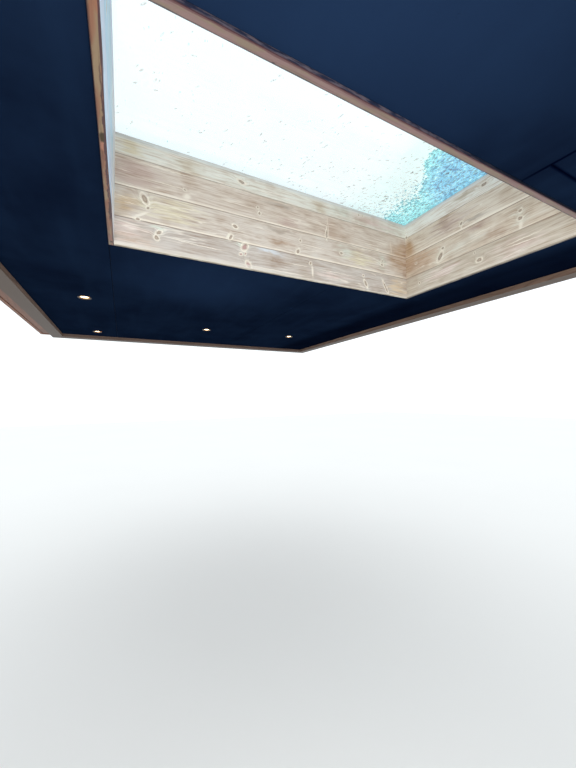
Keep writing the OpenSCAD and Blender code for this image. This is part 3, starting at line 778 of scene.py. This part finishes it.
def navy_paint():
    """Dark blue matt paint, rolled on, with painted light and painted shade."""
    finish, tree, shader = start_finish("navy_ceiling_paint", 0.8, Specular_IOR_Level=0.0)
    place = place_on(tree)
    patch = noise(tree, place, 2.3, 4.0, 0.6)
    stroke = noise(tree, stretch(tree, place, (9.0, 1.1, 1.0)), 1.0, 3.0)
    colour = lay(tree, paint(9, 18, 35), paint(14, 26, 45), patch, 0.3, 0.7)
    colour = lay(tree, colour, paint(18, 32, 52), stroke, 0.45, 0.75, 0.35)
    # Painted light: pools of lighter blue in front of the well and beyond it.
    for middle_x, middle_y, reach, most in painted_light_pools:
        spread = vector_calc(tree, "DISTANCE", place, (middle_x, middle_y, ceiling_level))
        colour = lay(tree, colour, paint(26, 43, 69), spread, reach, 0.1, most)
    x, y = split(tree, place)[:2]
    # Painted shade: the ceiling grows darker to the right of the well.
    painted_shade_right = fade(tree, x, well_right + 0.03, well_right + 0.22, 0.0, 0.9)
    colour = mix(tree, painted_shade_right, colour, (0.36, 0.34, 0.40, 1.0), "MULTIPLY")
    # Painted shade along the two open joints in front of the well, within joint_reach of them.
    beside = calc(tree, "ABSOLUTE", calc(tree, "SUBTRACT", x, sheet_seam))
    across = calc(tree, "ABSOLUTE", calc(tree, "SUBTRACT", y, cross_joint))
    across = calc(tree, "ADD", across, fade(tree, x, sheet_seam, sheet_seam - 0.002))
    darkening = fade(tree, calc(tree, "MINIMUM", beside, across), joint_reach, 0.002, 0.0, 0.9)
    darkening = times(tree, darkening, fade(tree, y, well_near + 0.05, cross_joint))
    show(tree, shader, mix(tree, darkening, colour, (0.03, 0.12, 0.36, 1.0), "MULTIPLY"))
    relief(tree, shader, noise(tree, place, 330.0, 2.0), 0.0004, 0.25)
    return finish


navy = navy_paint()
wear("navy paint", navy, "ceiling_left", "ceiling_middle", "ceiling_right")

# %% [markdown]
# ## Structural and stained timber
# Joists, battens and kerb are planed softwood, the fascias and soffits have a reddish brown
# stain, and the wall plates are greyer and darker, with painted shade on their underside. The
# battens carry navy painted shade on theirs, which shows through the sheet gaps. All are the
# same tree, so one recipe serves with different colours. The grain runs along the longest side.

# %% Planed and stained softwood
planed = (paint(206, 170, 124), paint(140, 98, 62))
brown_stain = (paint(128, 80, 54), paint(72, 42, 30))


def softwood(name, along, light, dark, gloss, painted_underside_shade=None):
    """Planed or stained softwood with its grain along X or Y, and, if given, painted shade on faces that
    point down.
    """
    finish, tree, shader = start_finish(name, gloss, Specular_IOR_Level=0.35)
    x, y, z = split(tree, place_on(tree))
    run, side = (x, y) if along == "X" else (y, x)
    fibre = join(tree, run, calc(tree, "ADD", z, times(tree, side, 0.6)), side)
    cloud = noise(tree, stretch(tree, fibre, (1.4, 9.0, 9.0)), 1.0, 4.0)
    streak = noise(tree, stretch(tree, fibre, (2.5, 110.0, 110.0)), 1.0, 4.0, 0.6)
    rings = growth_rings(tree, stretch(tree, fibre, (1.0, 1.0, 0.8)), 45.0, 14.0)
    colour = lay(tree, light, mix(tree, 0.55, light, dark), cloud, 0.3, 0.7)
    colour = mix(tree, times(tree, rings, 0.45), colour, dark)
    colour = lay(tree, colour, dark, streak, 0.45, 0.8, 0.6)
    # Painted shade: faces that point down take a darker colour.
    if painted_underside_shade:
        facing = split(tree, tree.nodes.new("ShaderNodeNewGeometry").outputs["Normal"])
        colour = lay(tree, colour, painted_underside_shade, facing[2], -0.75, -0.95)
    show(tree, shader, colour)
    relief(tree, shader, streak, 0.0005, 0.4)
    return finish


# The wall plates get painted shade on their undersides.
room_x = softwood("room_board_x", "X", paint(124, 102, 90), paint(74, 56, 48), 0.55, paint(74, 60, 51))
room_y = softwood("room_board_y", "Y", paint(130, 105, 90), paint(76, 58, 48), 0.55, paint(74, 60, 50))
plank_x = softwood("planed_softwood_x", "X", *planed, 0.6)
plank_y = softwood("planed_softwood_y", "Y", *planed, 0.6)
# The battens' navy underside is painted shade, so that the sheet gaps look dark.
batten_y = softwood("batten_y", "Y", *planed, 0.6, paint(9, 18, 35))
stained_x = softwood("stained_timber_x", "X", *brown_stain, 0.5)
stained_y = softwood("stained_timber_y", "Y", *brown_stain, 0.5)

# %% Give each timber its wood
wear("room boards, across", room_x, "wall_plate_near", "wall_plate_far")
wear("room boards, along", room_y, "wall_plate_left", "wall_plate_right")
wear("planed, across", plank_x, "joists", "opening_trimmers", "firrings", "kerb_near", "kerb_far")
wear("planed, along", plank_y, "opening_headers", "kerb_left", "kerb_right")
# The navy seen through the gaps is painted shade on the battens.
wear("battens, painted through the gaps", batten_y, "ceiling_battens")
wear("stained, across", stained_x, "fascia_near", "fascia_far", "soffits_cross")
wear("stained, along", stained_y, "fascia_left", "fascia_right", "soffits_long")

# %% [markdown]
# ## Deck, membrane, metal and rubber
# Strand board is a heap of flat chips, which a cell pattern gives. The membrane is dark and
# dusty. The trims and the cap are powder coated: an even colour, a fine texture and a soft
# gloss. The small parts of the glass unit hardly show, so two close tones are enough for each.

# %% Strand board deck
def strand_board():
    """Pressed wood chips."""
    finish, tree, shader = start_finish("strand_board", 0.75)
    chips = tree.nodes.new("ShaderNodeTexVoronoi")
    plug(tree, chips.inputs["Vector"], stretch(tree, place_on(tree), (1.0, 2.2, 1.0)))
    plug(tree, chips.inputs["Scale"], 26.0)
    shade = split(tree, chips.outputs["Color"])[0]
    show(tree, shader, mix(tree, shade, paint(205, 170, 118), paint(160, 118, 72)))
    relief(tree, shader, shade, 0.0006, 0.5)
    return finish


wear("strand board", strand_board(), "roof_deck")


# %% Roof membrane
def roof_felt():
    """Dark mineral felt, dusty in places and damp in others."""
    finish, tree, shader = start_finish("roof_felt", 0.85, Specular_IOR_Level=0.3)
    place = place_on(tree)
    dust = noise(tree, place, 3.4, 6.0, 0.65)
    damp = noise(tree, place, 1.3, 3.0, 0.5)
    grit = noise(tree, place, 700.0, 2.0)
    colour = lay(tree, paint(48, 51, 54), paint(80, 84, 88), grit, 0.35, 0.7)
    colour = lay(tree, colour, paint(104, 106, 104), dust, 0.50, 0.80, 0.35)
    colour = lay(tree, colour, paint(34, 36, 38), damp, 0.55, 0.70, 0.45)
    show(tree, shader, colour)
    plug(tree, shader.inputs["Roughness"], fade(tree, damp, 0.50, 0.70, 0.88, 0.45))
    relief(tree, shader, grit, 0.0006, 0.5)
    return finish


felt = roof_felt()
wear("roof felt", felt, "roof_membrane")


# %% Powder-coated trims, flashings and cap
def powder_coat():
    """Anthracite powder coat with a fine texture and a little dried rain."""
    finish, tree, shader = start_finish("powder_coat", 0.42, Metallic=0.0, Specular_IOR_Level=0.5)
    place = place_on(tree)
    mark = noise(tree, stretch(tree, place, (6.0, 6.0, 1.6)), 1.0, 4.0, 0.65)
    show(tree, shader, lay(tree, paint(58, 61, 64), paint(86, 88, 88), mark, 0.45, 0.8, 0.6))
    plug(tree, shader.inputs["Roughness"], fade(tree, mark, 0.3, 0.8, 0.36, 0.58))
    relief(tree, shader, noise(tree, place, 900.0, 1.0), 0.0001, 0.3)
    return finish


coat = powder_coat()
edge_names = ("left", "right", "near", "far")
wear("powder coat", coat, *(f"edge_trim_{edge}" for edge in edge_names),
     *(f"kerb_flashing_{edge}" for edge in edge_names), "glazing_cap")

# %% Rubber, tape and spacer of the glass unit
rubber = two_tone("black_rubber", 0.7, paint(26, 26, 28), paint(52, 52, 54), 40.0, 3.0,
                  Specular_IOR_Level=0.35)
foam_tape = two_tone("glazing_tape", 0.75, paint(196, 198, 196), paint(224, 226, 224), 500.0)
aluminium = two_tone("spacer_metal", 0.35, paint(168, 170, 174), paint(206, 208, 210), 1.0,
                     stretched=(8.0, 8.0, 400.0), Metallic=1.0)
wear("rubber", rubber, "cap_gasket")
wear("glazing tape", foam_tape, "base_gasket")
wear("spacer", aluminium, "glass_spacer")

# %% [markdown]
# ## Wet glass
# Clear glass shows what is behind it, so most of its look is the sky. The rain on its outer face
# is what we notice: a film of water that is almost clear, and towards the right-hand end a dense
# sheet of beads. Its teal, with white glints and darker strokes, is painted reflection and
# shade in the glass colour. The film is part of the outer pane's finish, and the larger drops are
# modelled below.

# %% Where the sheet of water begins
wet_from = 0.52
wet_steps = ((-0.78, -0.62, 0.08), (-0.56, -0.36, -0.03))


def smooth(value, start, end):
    """Goes smoothly from 0 to 1 while the value goes from start to end."""
    part = min(1.0, max(0.0, (value - start) / (end - start)))
    return part * part * (3.0 - 2.0 * part)


def wet_edge(y):
    """How far right the sheet begins, at a depth y along the pane."""
    return wet_from + sum(back * smooth(y, near, far) for near, far, back in wet_steps)


# %% Panes and water film
clear = paint(250, 255, 255)


def clear_glass(name):
    """Glass without a tint of its own, and the parts of its graph for more."""
    finish, tree, shader = start_finish(name, 0.02, Transmission_Weight=1.0, IOR=1.5)
    show(tree, shader, clear)
    return finish, tree, shader


def wet_glass():
    """Clear glass, wet, with a rippled sheet of beads on its right-hand end: its teal is painted reflection,
    with painted glints and painted shade.
    """
    finish, tree, shader = clear_glass("wet_glass")
    place = place_on(tree)
    x, y = split(tree, place)[:2]
    ragged = times(tree, calc(tree, "SUBTRACT", noise(tree, place, 16.0, 5.0, 0.65), 0.5), 0.16)
    edge = calc(tree, "ADD", x, ragged)
    for near, far, back in wet_steps:
        edge = calc(tree, "SUBTRACT", edge, fade(tree, y, near, far, 0.0, back))
    soft = fade(tree, y, -0.74, -0.42, 0.07, 0.40)
    film = fade(tree, edge, wet_from - 0.01, calc(tree, "ADD", soft, wet_from))
    driven = tree.nodes.new("ShaderNodeMapping")
    driven.vector_type = "TEXTURE"
    plug(tree, driven.inputs["Vector"], shake(tree, place, 60.0, 0.008))
    plug(tree, driven.inputs["Rotation"], (0.0, 0.0, -0.12))
    plug(tree, driven.inputs["Scale"], (0.0100, 0.0155, 1.0))
    ripple = noise(tree, driven.outputs[0], 1.0, 2.0, 0.5)
    cover = fade(tree, calc(tree, "SUBTRACT", ripple, times(tree, film, 0.56)), 0.28, 0.18)
    slant = times(tree, calc(tree, "SUBTRACT", x, wet_from), 0.38)
    slant = calc(tree, "SUBTRACT", y, slant)
    deep = fade(tree, slant, -0.58, -0.74, 0.15, 1.0)
    deep = times(tree, fade(tree, edge, wet_from, wet_from + 0.18), deep)
    # Painted reflection: teal in the sheet, deeper blue further in, and darker strokes of painted shade.
    body = mix(tree, deep, paint(174, 250, 248), paint(134, 212, 241))
    shade = mix(tree, deep, paint(92, 190, 198), paint(66, 136, 182))
    # Painted glints where the ripple is high, then painted shade where it is low.
    painted_water_light = lay(tree, body, paint(220, 255, 255), ripple, 0.57, 0.70, 0.85)
    painted_water_light = lay(tree, painted_water_light, shade, ripple, 0.48, 0.38)
    # Painted reflection: a pale mint tint just left of the sheet.
    painted_mint_reflection = lay(tree, clear, paint(236, 255, 252), edge, wet_from - 0.30, wet_from, 0.8)
    show(tree, shader, mix(tree, times(tree, cover, 0.92), painted_mint_reflection, painted_water_light))
    relief(tree, shader, times(tree, ripple, film), 0.0008, 0.3)
    return finish


wear("inner pane", clear_glass("clear_glass")[0], "inner_pane")
wear("outer pane", wet_glass(), "outer_pane")

# %% [markdown]
# ## Helpers for modelling
# New pieces are modelled the way one would by hand. Operators act on what is selected, so each
# piece starts from nothing selected. When it is done, its place is applied to its mesh, and it
# is told which body it rides on. A roof with no joints has one body, called root.

# %% Select and edit
def go_to(mode):
    """Go to edit or object mode."""
    bpy.ops.object.mode_set(mode=mode)


def pick(piece=None):
    """Select one object and nothing else, or nothing at all."""
    if bpy.context.mode != "OBJECT":
        go_to("OBJECT")
    bpy.ops.object.select_all(action="DESELECT")
    if piece:
        piece.select_set(True)
        bpy.context.view_layer.objects.active = piece


def select_mesh(action="SELECT"):
    """In edit mode, select the whole mesh, or nothing of it."""
    bpy.ops.mesh.select_all(action=action)


def choose(piece, kind, wanted):
    """Go to edit mode with those faces or edges of a piece selected that pass the test."""
    pick(piece)
    go_to("EDIT")
    bpy.ops.mesh.select_mode(type=kind)
    select_mesh("DESELECT")
    go_to("OBJECT")
    for part in piece.data.polygons if kind == "FACE" else piece.data.edges:
        part.select = wanted(part)
    go_to("EDIT")


def draw_line(name, points):
    """A line through the points, all selected, in edit mode."""
    mesh = bpy.data.meshes.new(name)
    mesh.from_pydata(points, [(i, i + 1) for i in range(len(points) - 1)], [])
    line = add_object(name, mesh)
    pick(line)
    go_to("EDIT")
    select_mesh()
    return line


# %% Finish, settle and repeat
def add_modifier(piece, kind, **values):
    """Add a modifier with its values, and apply it."""
    pick(piece)
    step = piece.modifiers.new(kind.lower(), kind)
    for label, value in values.items():
        setattr(step, label, value)
    bpy.ops.object.modifier_apply(modifier=step.name)


def settle(piece, name, finish):
    """Name a piece, apply its place, and let it ride on the roof."""
    pick(piece)
    bpy.ops.object.transform_apply(location=True, rotation=True, scale=True)
    piece.name = piece.data.name = name
    piece.data.materials.clear()
    piece.data.materials.append(finish)
    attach(piece, "root")
    print(f"{name}: {len(piece.data.polygons)} faces")
    return piece


def repeat(model, name, places):
    """One piece that holds a copy of the model's mesh at each place. The model is removed."""
    points = [vertex.co.copy() for vertex in model.data.vertices]
    faces = [tuple(face.vertices) for face in model.data.polygons]
    rounded = [face.use_smooth for face in model.data.polygons]
    all_points, all_faces = [], []
    for place in places:
        base = len(all_points)
        all_points += [place @ point for point in points]
        all_faces += [[base + index for index in face] for face in faces]
    mesh = bpy.data.meshes.new(name)
    mesh.from_pydata(all_points, [], all_faces)
    mesh.polygons.foreach_set("use_smooth", rounded * len(places))
    piece = add_object(name, mesh)
    bpy.data.objects.remove(model)
    return piece


# %% [markdown]
# ## Rain on the glass
# A raindrop on glass is a shallow lens with a flat foot. We model one, from the cap of a sphere
# pressed flat, and set copies of it on the outer pane: a few loose drops on the left, and more
# and more towards the far right corner, each with its own size and turn. The random numbers have
# a fixed seed, so every run makes the same shower.

# %% Model one raindrop
drop_cut = 0.5
drop_foot = 1.15
drop_flatness = 0.09


def model_drop(segments, rings):
    """A dome about one metre in radius on the ground plane, to be scaled to size."""
    pick()
    bpy.ops.mesh.primitive_uv_sphere_add(segments=segments, ring_count=rings, radius=1.0, location=(0, 0, 0))
    drop = bpy.context.active_object
    go_to("EDIT")
    select_mesh()
    bpy.ops.mesh.bisect(plane_co=(0, 0, drop_cut), plane_no=(0, 0, 1), use_fill=True, clear_inner=True)
    select_mesh()
    bpy.ops.transform.translate(value=(0, 0, -drop_cut))
    bpy.ops.transform.resize(value=(drop_foot, drop_foot, drop_flatness), center_override=(0, 0, 0))
    go_to("OBJECT")
    for face in drop.data.polygons:
        face.use_smooth = face.normal.z > -0.9
    return drop


# %% Scatter the drops
pane_low, pane_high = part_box("outer_pane")
cap_cover = 0.048
drop_sink = 0.00002
shower = random.Random(17)


def on_pane(x, y):
    """The nearest point of the glass that the cap leaves open."""
    x = min(pane_high.x - cap_cover, max(pane_low.x + cap_cover, x))
    y = min(pane_high.y - cap_cover, max(pane_low.y + cap_cover, y))
    return Vector((x, y, glass_top - drop_sink))


def drop_places(clusters, most, size_from, size_to, accept):
    """Small clusters of drops where the test allows them, each drop with a size and a turn."""
    places = []
    while clusters > 0:
        x = shower.uniform(pane_low.x + cap_cover, pane_high.x - cap_cover)
        y = shower.uniform(pane_low.y + cap_cover, pane_high.y - cap_cover)
        if shower.random() > accept(x, y):
            continue
        clusters -= 1
        drift = shower.gauss(-0.92, 0.22)
        for _ in range(shower.randint(1, most)):
            size = size_from + (size_to - size_from) * shower.random() ** 1.5
            long = size * shower.uniform(1.8, 3.8)
            spot = on_pane(x + shower.gauss(0.0, 0.018), y + shower.gauss(0.0, 0.025))
            turn = Matrix.Rotation(drift + shower.gauss(0.0, 0.2), 4, "Z")
            shape = Matrix.Diagonal((long, size, size * 0.8, 1.0))
            places.append(Matrix.Translation(spot) @ turn @ shape)
    return places


def loose(x, y):
    """Few drops on the left, more towards the sheet and along the far edge."""
    beside = max(0.0, 1.0 - max(0.0, wet_edge(y) - x) / 0.20)
    far_edge = smooth(y, -0.55, -0.30) * smooth(x, -0.30, 0.50)
    right = smooth(x, -0.70, 0.60)
    return min(1.0, 0.05 + 0.10 * right + 0.30 * far_edge + 0.60 * beside ** 2)


def sheeted(x, y):
    """Only the wet right-hand end."""
    return min(1.0, max(0.0, (x - wet_edge(y)) / 0.10))


drops = repeat(model_drop(12, 8), "rain_drops", drop_places(660, 3, 0.0018, 0.0042, loose))
beads = repeat(model_drop(10, 6), "rain_beads", drop_places(300, 3, 0.0014, 0.0026, sheeted))


# %% The water in the drops
def rain_water(name, light, dark):
    """Water on glass, which bends light less than a lone drop does. Its tints are painted reflection of the
    tones around it.
    """
    return two_tone(name, 0.03, light, dark, 90.0, sharp=(0.4, 0.6), Transmission_Weight=1.0, IOR=1.10)


settle(drops, "rain_drops", rain_water("rain_water", paint(245, 243, 241), paint(223, 220, 218)))
# The beads' teal is painted reflection, like the sheet they sit in.
settle(beads, "rain_beads", rain_water("bead_water_painted_reflection", paint(176, 232, 244), paint(136, 200, 228)))

# %% [markdown]
# ## Downlights
# Each lamp has a frosted dome that sits just inside its dark bezel, in a small bright cone. A
# profile spun round an axis makes such dishes. The dome glows warm and lights the cone, which is
# why a lit downlight looks like a bright oval with an orange rim when it is seen from the side.

# %% Spin the cone and the dome
def spin_profile(name, profile, steps=32):
    """Spin a list of radius and height pairs round Z."""
    dish = draw_line(name, [(radius, 0.0, height) for radius, height in profile])
    bpy.ops.mesh.spin(steps=steps, angle=2 * math.pi, center=(0, 0, 0), axis=(0, 0, 1))
    select_mesh()
    bpy.ops.mesh.remove_doubles(threshold=0.00002)
    bpy.ops.mesh.normals_make_consistent(inside=False)
    go_to("OBJECT")
    bpy.ops.object.shade_smooth_by_angle(angle=math.radians(35))
    return dish


cone_profile = [
    (0.0, 0.0300), (0.0262, 0.0300), (0.0262, 0.0060), (0.0272, 0.0052), (0.0300, 0.0006),
    (0.0312, 0.0004), (0.0314, 0.0012), (0.0314, 0.0300), (0.0, 0.0304),
]
dome_profile = [
    (0.0, 0.0012), (0.008, 0.0014), (0.015, 0.0022), (0.021, 0.0036), (0.0255, 0.0060),
    (0.0258, 0.0100), (0.0, 0.0100),
]

# %% Set one in each bezel
lamp_places = []
for run, depth in ((-0.196, 1.946), (-0.193, 3.120), (0.776, 2.607), (1.695, 2.593)):
    lamp_places.append(Matrix.Translation((well_left + run, well_near + depth, ceiling_level)))
cones = repeat(spin_profile("cone", cone_profile), "downlight_cones", lamp_places)
lamps = repeat(spin_profile("dome", dome_profile), "downlight_lamps", lamp_places)


# %% Finishes of the downlights
def satin_metal(name, colour, roughness):
    """Satin metal, a little darker in places."""
    darker = (*(0.8 * value for value in colour[:3]), 1.0)
    return two_tone(name, roughness, colour, darker, 260.0, Metallic=0.9)


lit_lamp = two_tone("lit_lamp", 0.4, paint(255, 236, 200), paint(255, 220, 170), 300.0, 1.0,
                    Emission_Strength=9.0, Emission_Color=(1.0, 0.70, 0.40, 1.0))
settle(cones, "downlight_cones", satin_metal("cone_metal", paint(236, 196, 150), 0.3))
settle(lamps, "downlight_lamps", lit_lamp)
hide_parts("downlight_lenses")
wear("bezels", satin_metal("bezel_bronze", paint(58, 42, 32), 0.45), "downlight_bezels")

# %% [markdown]
# ## Screws and nails
# Fixings are small, but the eye looks for them, because they say how a thing is held together.
# One domed head serves for all: it is modelled once at full size and copied. The ceiling screws
# are painted over with the ceiling, the nails of the fascias have gone brown, and the cap has
# bright heads with a recess.

# %% Model one screw head
def model_screw(radius, height, recess):
    """A domed head that stands on the ground plane, with or without a recess on top."""
    pick()
    bpy.ops.mesh.primitive_cylinder_add(vertices=12, radius=radius, depth=height, location=(0, 0, height / 2))
    head = bpy.context.active_object
    choose(head, "FACE", lambda face: face.normal.z > 0.9)
    bpy.ops.mesh.inset(thickness=radius * 0.22)
    bpy.ops.transform.translate(value=(0, 0, height * 0.35))
    if recess:
        bpy.ops.mesh.inset(thickness=radius * 0.38)
        bpy.ops.transform.translate(value=(0, 0, -height * 0.7))
    go_to("OBJECT")
    return head


def facing_to(spot, outward):
    """A place whose +Z points outward."""
    return Matrix.Translation(spot) @ Vector(outward).to_track_quat("Z", "Y").to_matrix().to_4x4()


def spaced(start, end, pitch):
    """Evenly spaced values from start to end, about a pitch apart."""
    count = max(1, round((end - start) / pitch))
    return [start + (end - start) * i / count for i in range(count + 1)]


def all_round(low, high, heights, inset, pitch):
    """Places at these heights on the four upright faces of a box. Inset and pitch are for X and Y."""
    spots = []
    for z in heights:
        for x in spaced(low.x + inset[0], high.x - inset[0], pitch[0]):
            spots += [facing_to((x, low.y, z), (0, -1, 0)), facing_to((x, high.y, z), (0, 1, 0))]
        for y in spaced(low.y + inset[1], high.y - inset[1], pitch[1]):
            spots += [facing_to((low.x, y, z), (-1, 0, 0)), facing_to((high.x, y, z), (1, 0, 0))]
    return spots


# %% Ceiling screws, painted over
room_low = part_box("ceiling_left")[0]
room_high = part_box("ceiling_right")[1]
seams = [corner.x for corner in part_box("ceiling_middle")]
from_edge = 0.022
from_end = 0.03
from_seam = 0.012
screw_pitch = 0.30
well_clear = 0.05
rows_x = [
    room_low.x + from_edge, seams[0] - from_seam, seams[0] + from_seam, (seams[0] + seams[1]) / 2,
    seams[1] - from_seam, seams[1] + from_seam, room_high.x - from_edge,
]


def over_well(x, y):
    """Whether a place lies over the well or close to it."""
    beside = well_left - well_clear < x < well_right + well_clear
    return beside and well_near - well_clear < y < well_far + well_clear


screw_spots = [
    facing_to((x, y, ceiling_level), (0, 0, -1))
    for x in rows_x
    for y in spaced(room_low.y + from_end, room_high.y - from_end, screw_pitch)
    if not over_well(x, y)
]
ceiling_screws = repeat(model_screw(0.004, 0.0006, False), "ceiling_screws", screw_spots)
settle(ceiling_screws, "ceiling_screws", navy)

# %% Fascia nails in rows
fascia_low, fascia_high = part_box("fascia_near")[0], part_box("fascia_far")[1]
nail_rows = [fascia_low.z + up for up in (0.035, 0.130, 0.195)]
nail_spots = all_round(fascia_low, fascia_high, nail_rows, (0.05, 0.06), (0.45, 0.60))
nails = repeat(model_screw(0.0032, 0.0008, False), "fascia_nails", nail_spots)
rusty = two_tone("nail_head", 0.55, paint(120, 112, 104), paint(92, 58, 40), 60.0, 3.0,
                 sharp=(0.35, 0.65), Metallic=0.6)
settle(nails, "fascia_nails", rusty)

# %% Bright screws in the cap
cap_low, cap_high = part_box("glazing_cap")
leg_middle = cap_low.z + 0.018
cap_spots = all_round(cap_low, cap_high, [leg_middle], (0.09, 0.09), (0.30, 0.30))
cap_screws = repeat(model_screw(0.0045, 0.0022, True), "cap_screws", cap_spots)
settle(cap_screws, "cap_screws", satin_metal("stainless", paint(188, 190, 192), 0.3))

# %% [markdown]
# ## Laps of the membrane
# Felt comes in rolls, and each roll laps over the one before. The lap is a low step across the
# roof. At the corners of the kerb, rounded patches are bonded over the turn-up. Both are thin
# plates with softened edges, laid on the sloping roof, so we model them flat and tilt them.

# %% Model one plate of felt
lap_thickness = 0.0018
roof_tilt = math.atan(roof_fall)


def upright(plate):
    """A test for the edges of a plate that stand on end."""
    points = plate.data.vertices
    ends = [[points[index].co.z for index in edge.vertices] for edge in plate.data.edges]
    return lambda edge: abs(ends[edge.index][0] - ends[edge.index][1]) > lap_thickness / 2


def felt_plate(name, x0, x1, y0, y1, corner):
    """A thin plate with rounded corners and soft edges, bonded to the roof between these lines."""
    pick()
    bpy.ops.mesh.primitive_cube_add(size=1.0, location=(0, 0, 0))
    plate = bpy.context.active_object
    plate.scale = (x1 - x0, y1 - y0, lap_thickness)
    bpy.ops.object.transform_apply(location=False, rotation=False, scale=True)
    choose(plate, "EDGE", upright(plate))
    bpy.ops.mesh.bevel(offset=corner, segments=4)
    go_to("OBJECT")
    add_modifier(plate, "BEVEL", width=0.0006, segments=2, limit_method="ANGLE")
    plate.rotation_euler = (0.0, -roof_tilt, 0.0)
    middle = (x0 + x1) / 2
    plate.location = (middle, (y0 + y1) / 2, roof_top(middle) + lap_thickness / 2)
    return settle(plate, name, felt)


# %% Lay the laps and the corner patches
membrane_low, membrane_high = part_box("roof_membrane")
kerb_low, kerb_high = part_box("kerb_near")[0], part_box("kerb_far")[1]
lap_width = 0.09
lap_inset = 0.075
lap_left, lap_right = membrane_low.x + lap_inset, membrane_high.x - lap_inset
for count, y in enumerate((-1.70, 0.35, 1.40)):
    felt_plate(f"membrane_lap_{count}", lap_left, lap_right, y, y + lap_width, 0.004)
patch_from = 0.006
patch_to = 0.16
for tag, x, y in (("near_left", kerb_low.x, kerb_low.y), ("near_right", kerb_high.x, kerb_low.y),
                  ("far_left", kerb_low.x, kerb_high.y), ("far_right", kerb_high.x, kerb_high.y)):
    out_x = -1 if "left" in tag else 1
    out_y = -1 if "near" in tag else 1
    x_pair = sorted((x + out_x * patch_from, x + out_x * patch_to))
    y_pair = sorted((y + out_y * patch_from, y + out_y * patch_to))
    felt_plate(f"kerb_patch_{tag}", *x_pair, *y_pair, 0.03)

# %% [markdown]
# ## Joint sleeves of the edge trim
# Edge trim comes in lengths, and a short sleeve covers each joint. It has the trim's own section
# and sits just over it. We draw the section as a line, give it length by extruding it, and
# thickness with a Solidify modifier.

# %% Fold one sleeve for each edge
sleeve_length = 0.09
lip = 0.022
drip = 0.010


def trim_sleeve(name, points, turn, place):
    """A folded strip. The points are outward distance and height, from the trim's inner corner."""
    half = sleeve_length / 2
    sleeve = draw_line(name, [(out, -half, up) for out, up in points])
    bpy.ops.mesh.extrude_region_move(TRANSFORM_OT_translate={"value": (0, sleeve_length, 0)})
    select_mesh()
    bpy.ops.mesh.normals_make_consistent(inside=False)
    go_to("OBJECT")
    add_modifier(sleeve, "SOLIDIFY", thickness=0.0009, offset=0.0)
    add_modifier(sleeve, "BEVEL", width=0.0002, segments=1, limit_method="ANGLE")
    sleeve.rotation_euler = (0.0, 0.0, turn)
    sleeve.location = place
    return settle(sleeve, name, coat)


lipped = [(-0.056, 0.0028), (-0.0048, 0.0028), (-0.0048, lip + 0.0008), (0.0028, lip + 0.0008),
          (0.0028, -0.0690), (0.0096, -0.0758)]
plain = [(-0.056, 0.0028), (0.0028, 0.0028), (0.0028, -0.0690), (0.0096, -0.0758)]
trim_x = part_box("edge_trim_right")[1].x - drip
trim_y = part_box("edge_trim_far")[1].y - drip
trim_sleeve("trim_sleeve_right", lipped, 0.0, (trim_x, 0.0, roof_top(trim_x)))
trim_sleeve("trim_sleeve_left", plain, math.pi, (-trim_x, 0.0, roof_top(-trim_x)))
trim_sleeve("trim_sleeve_far", lipped, math.pi / 2, (0.0, trim_y, roof_top(0.0)))
trim_sleeve("trim_sleeve_near", lipped, -math.pi / 2, (0.0, -trim_y, roof_top(0.0)))

# %% [markdown]
# ## The floor's finish
# The floor is plain and pale.

# %% Finish the floor
floor.data.materials.append(
    two_tone("pale_floor", 0.9, paint(232, 232, 230), paint(236, 236, 234), 0.4))
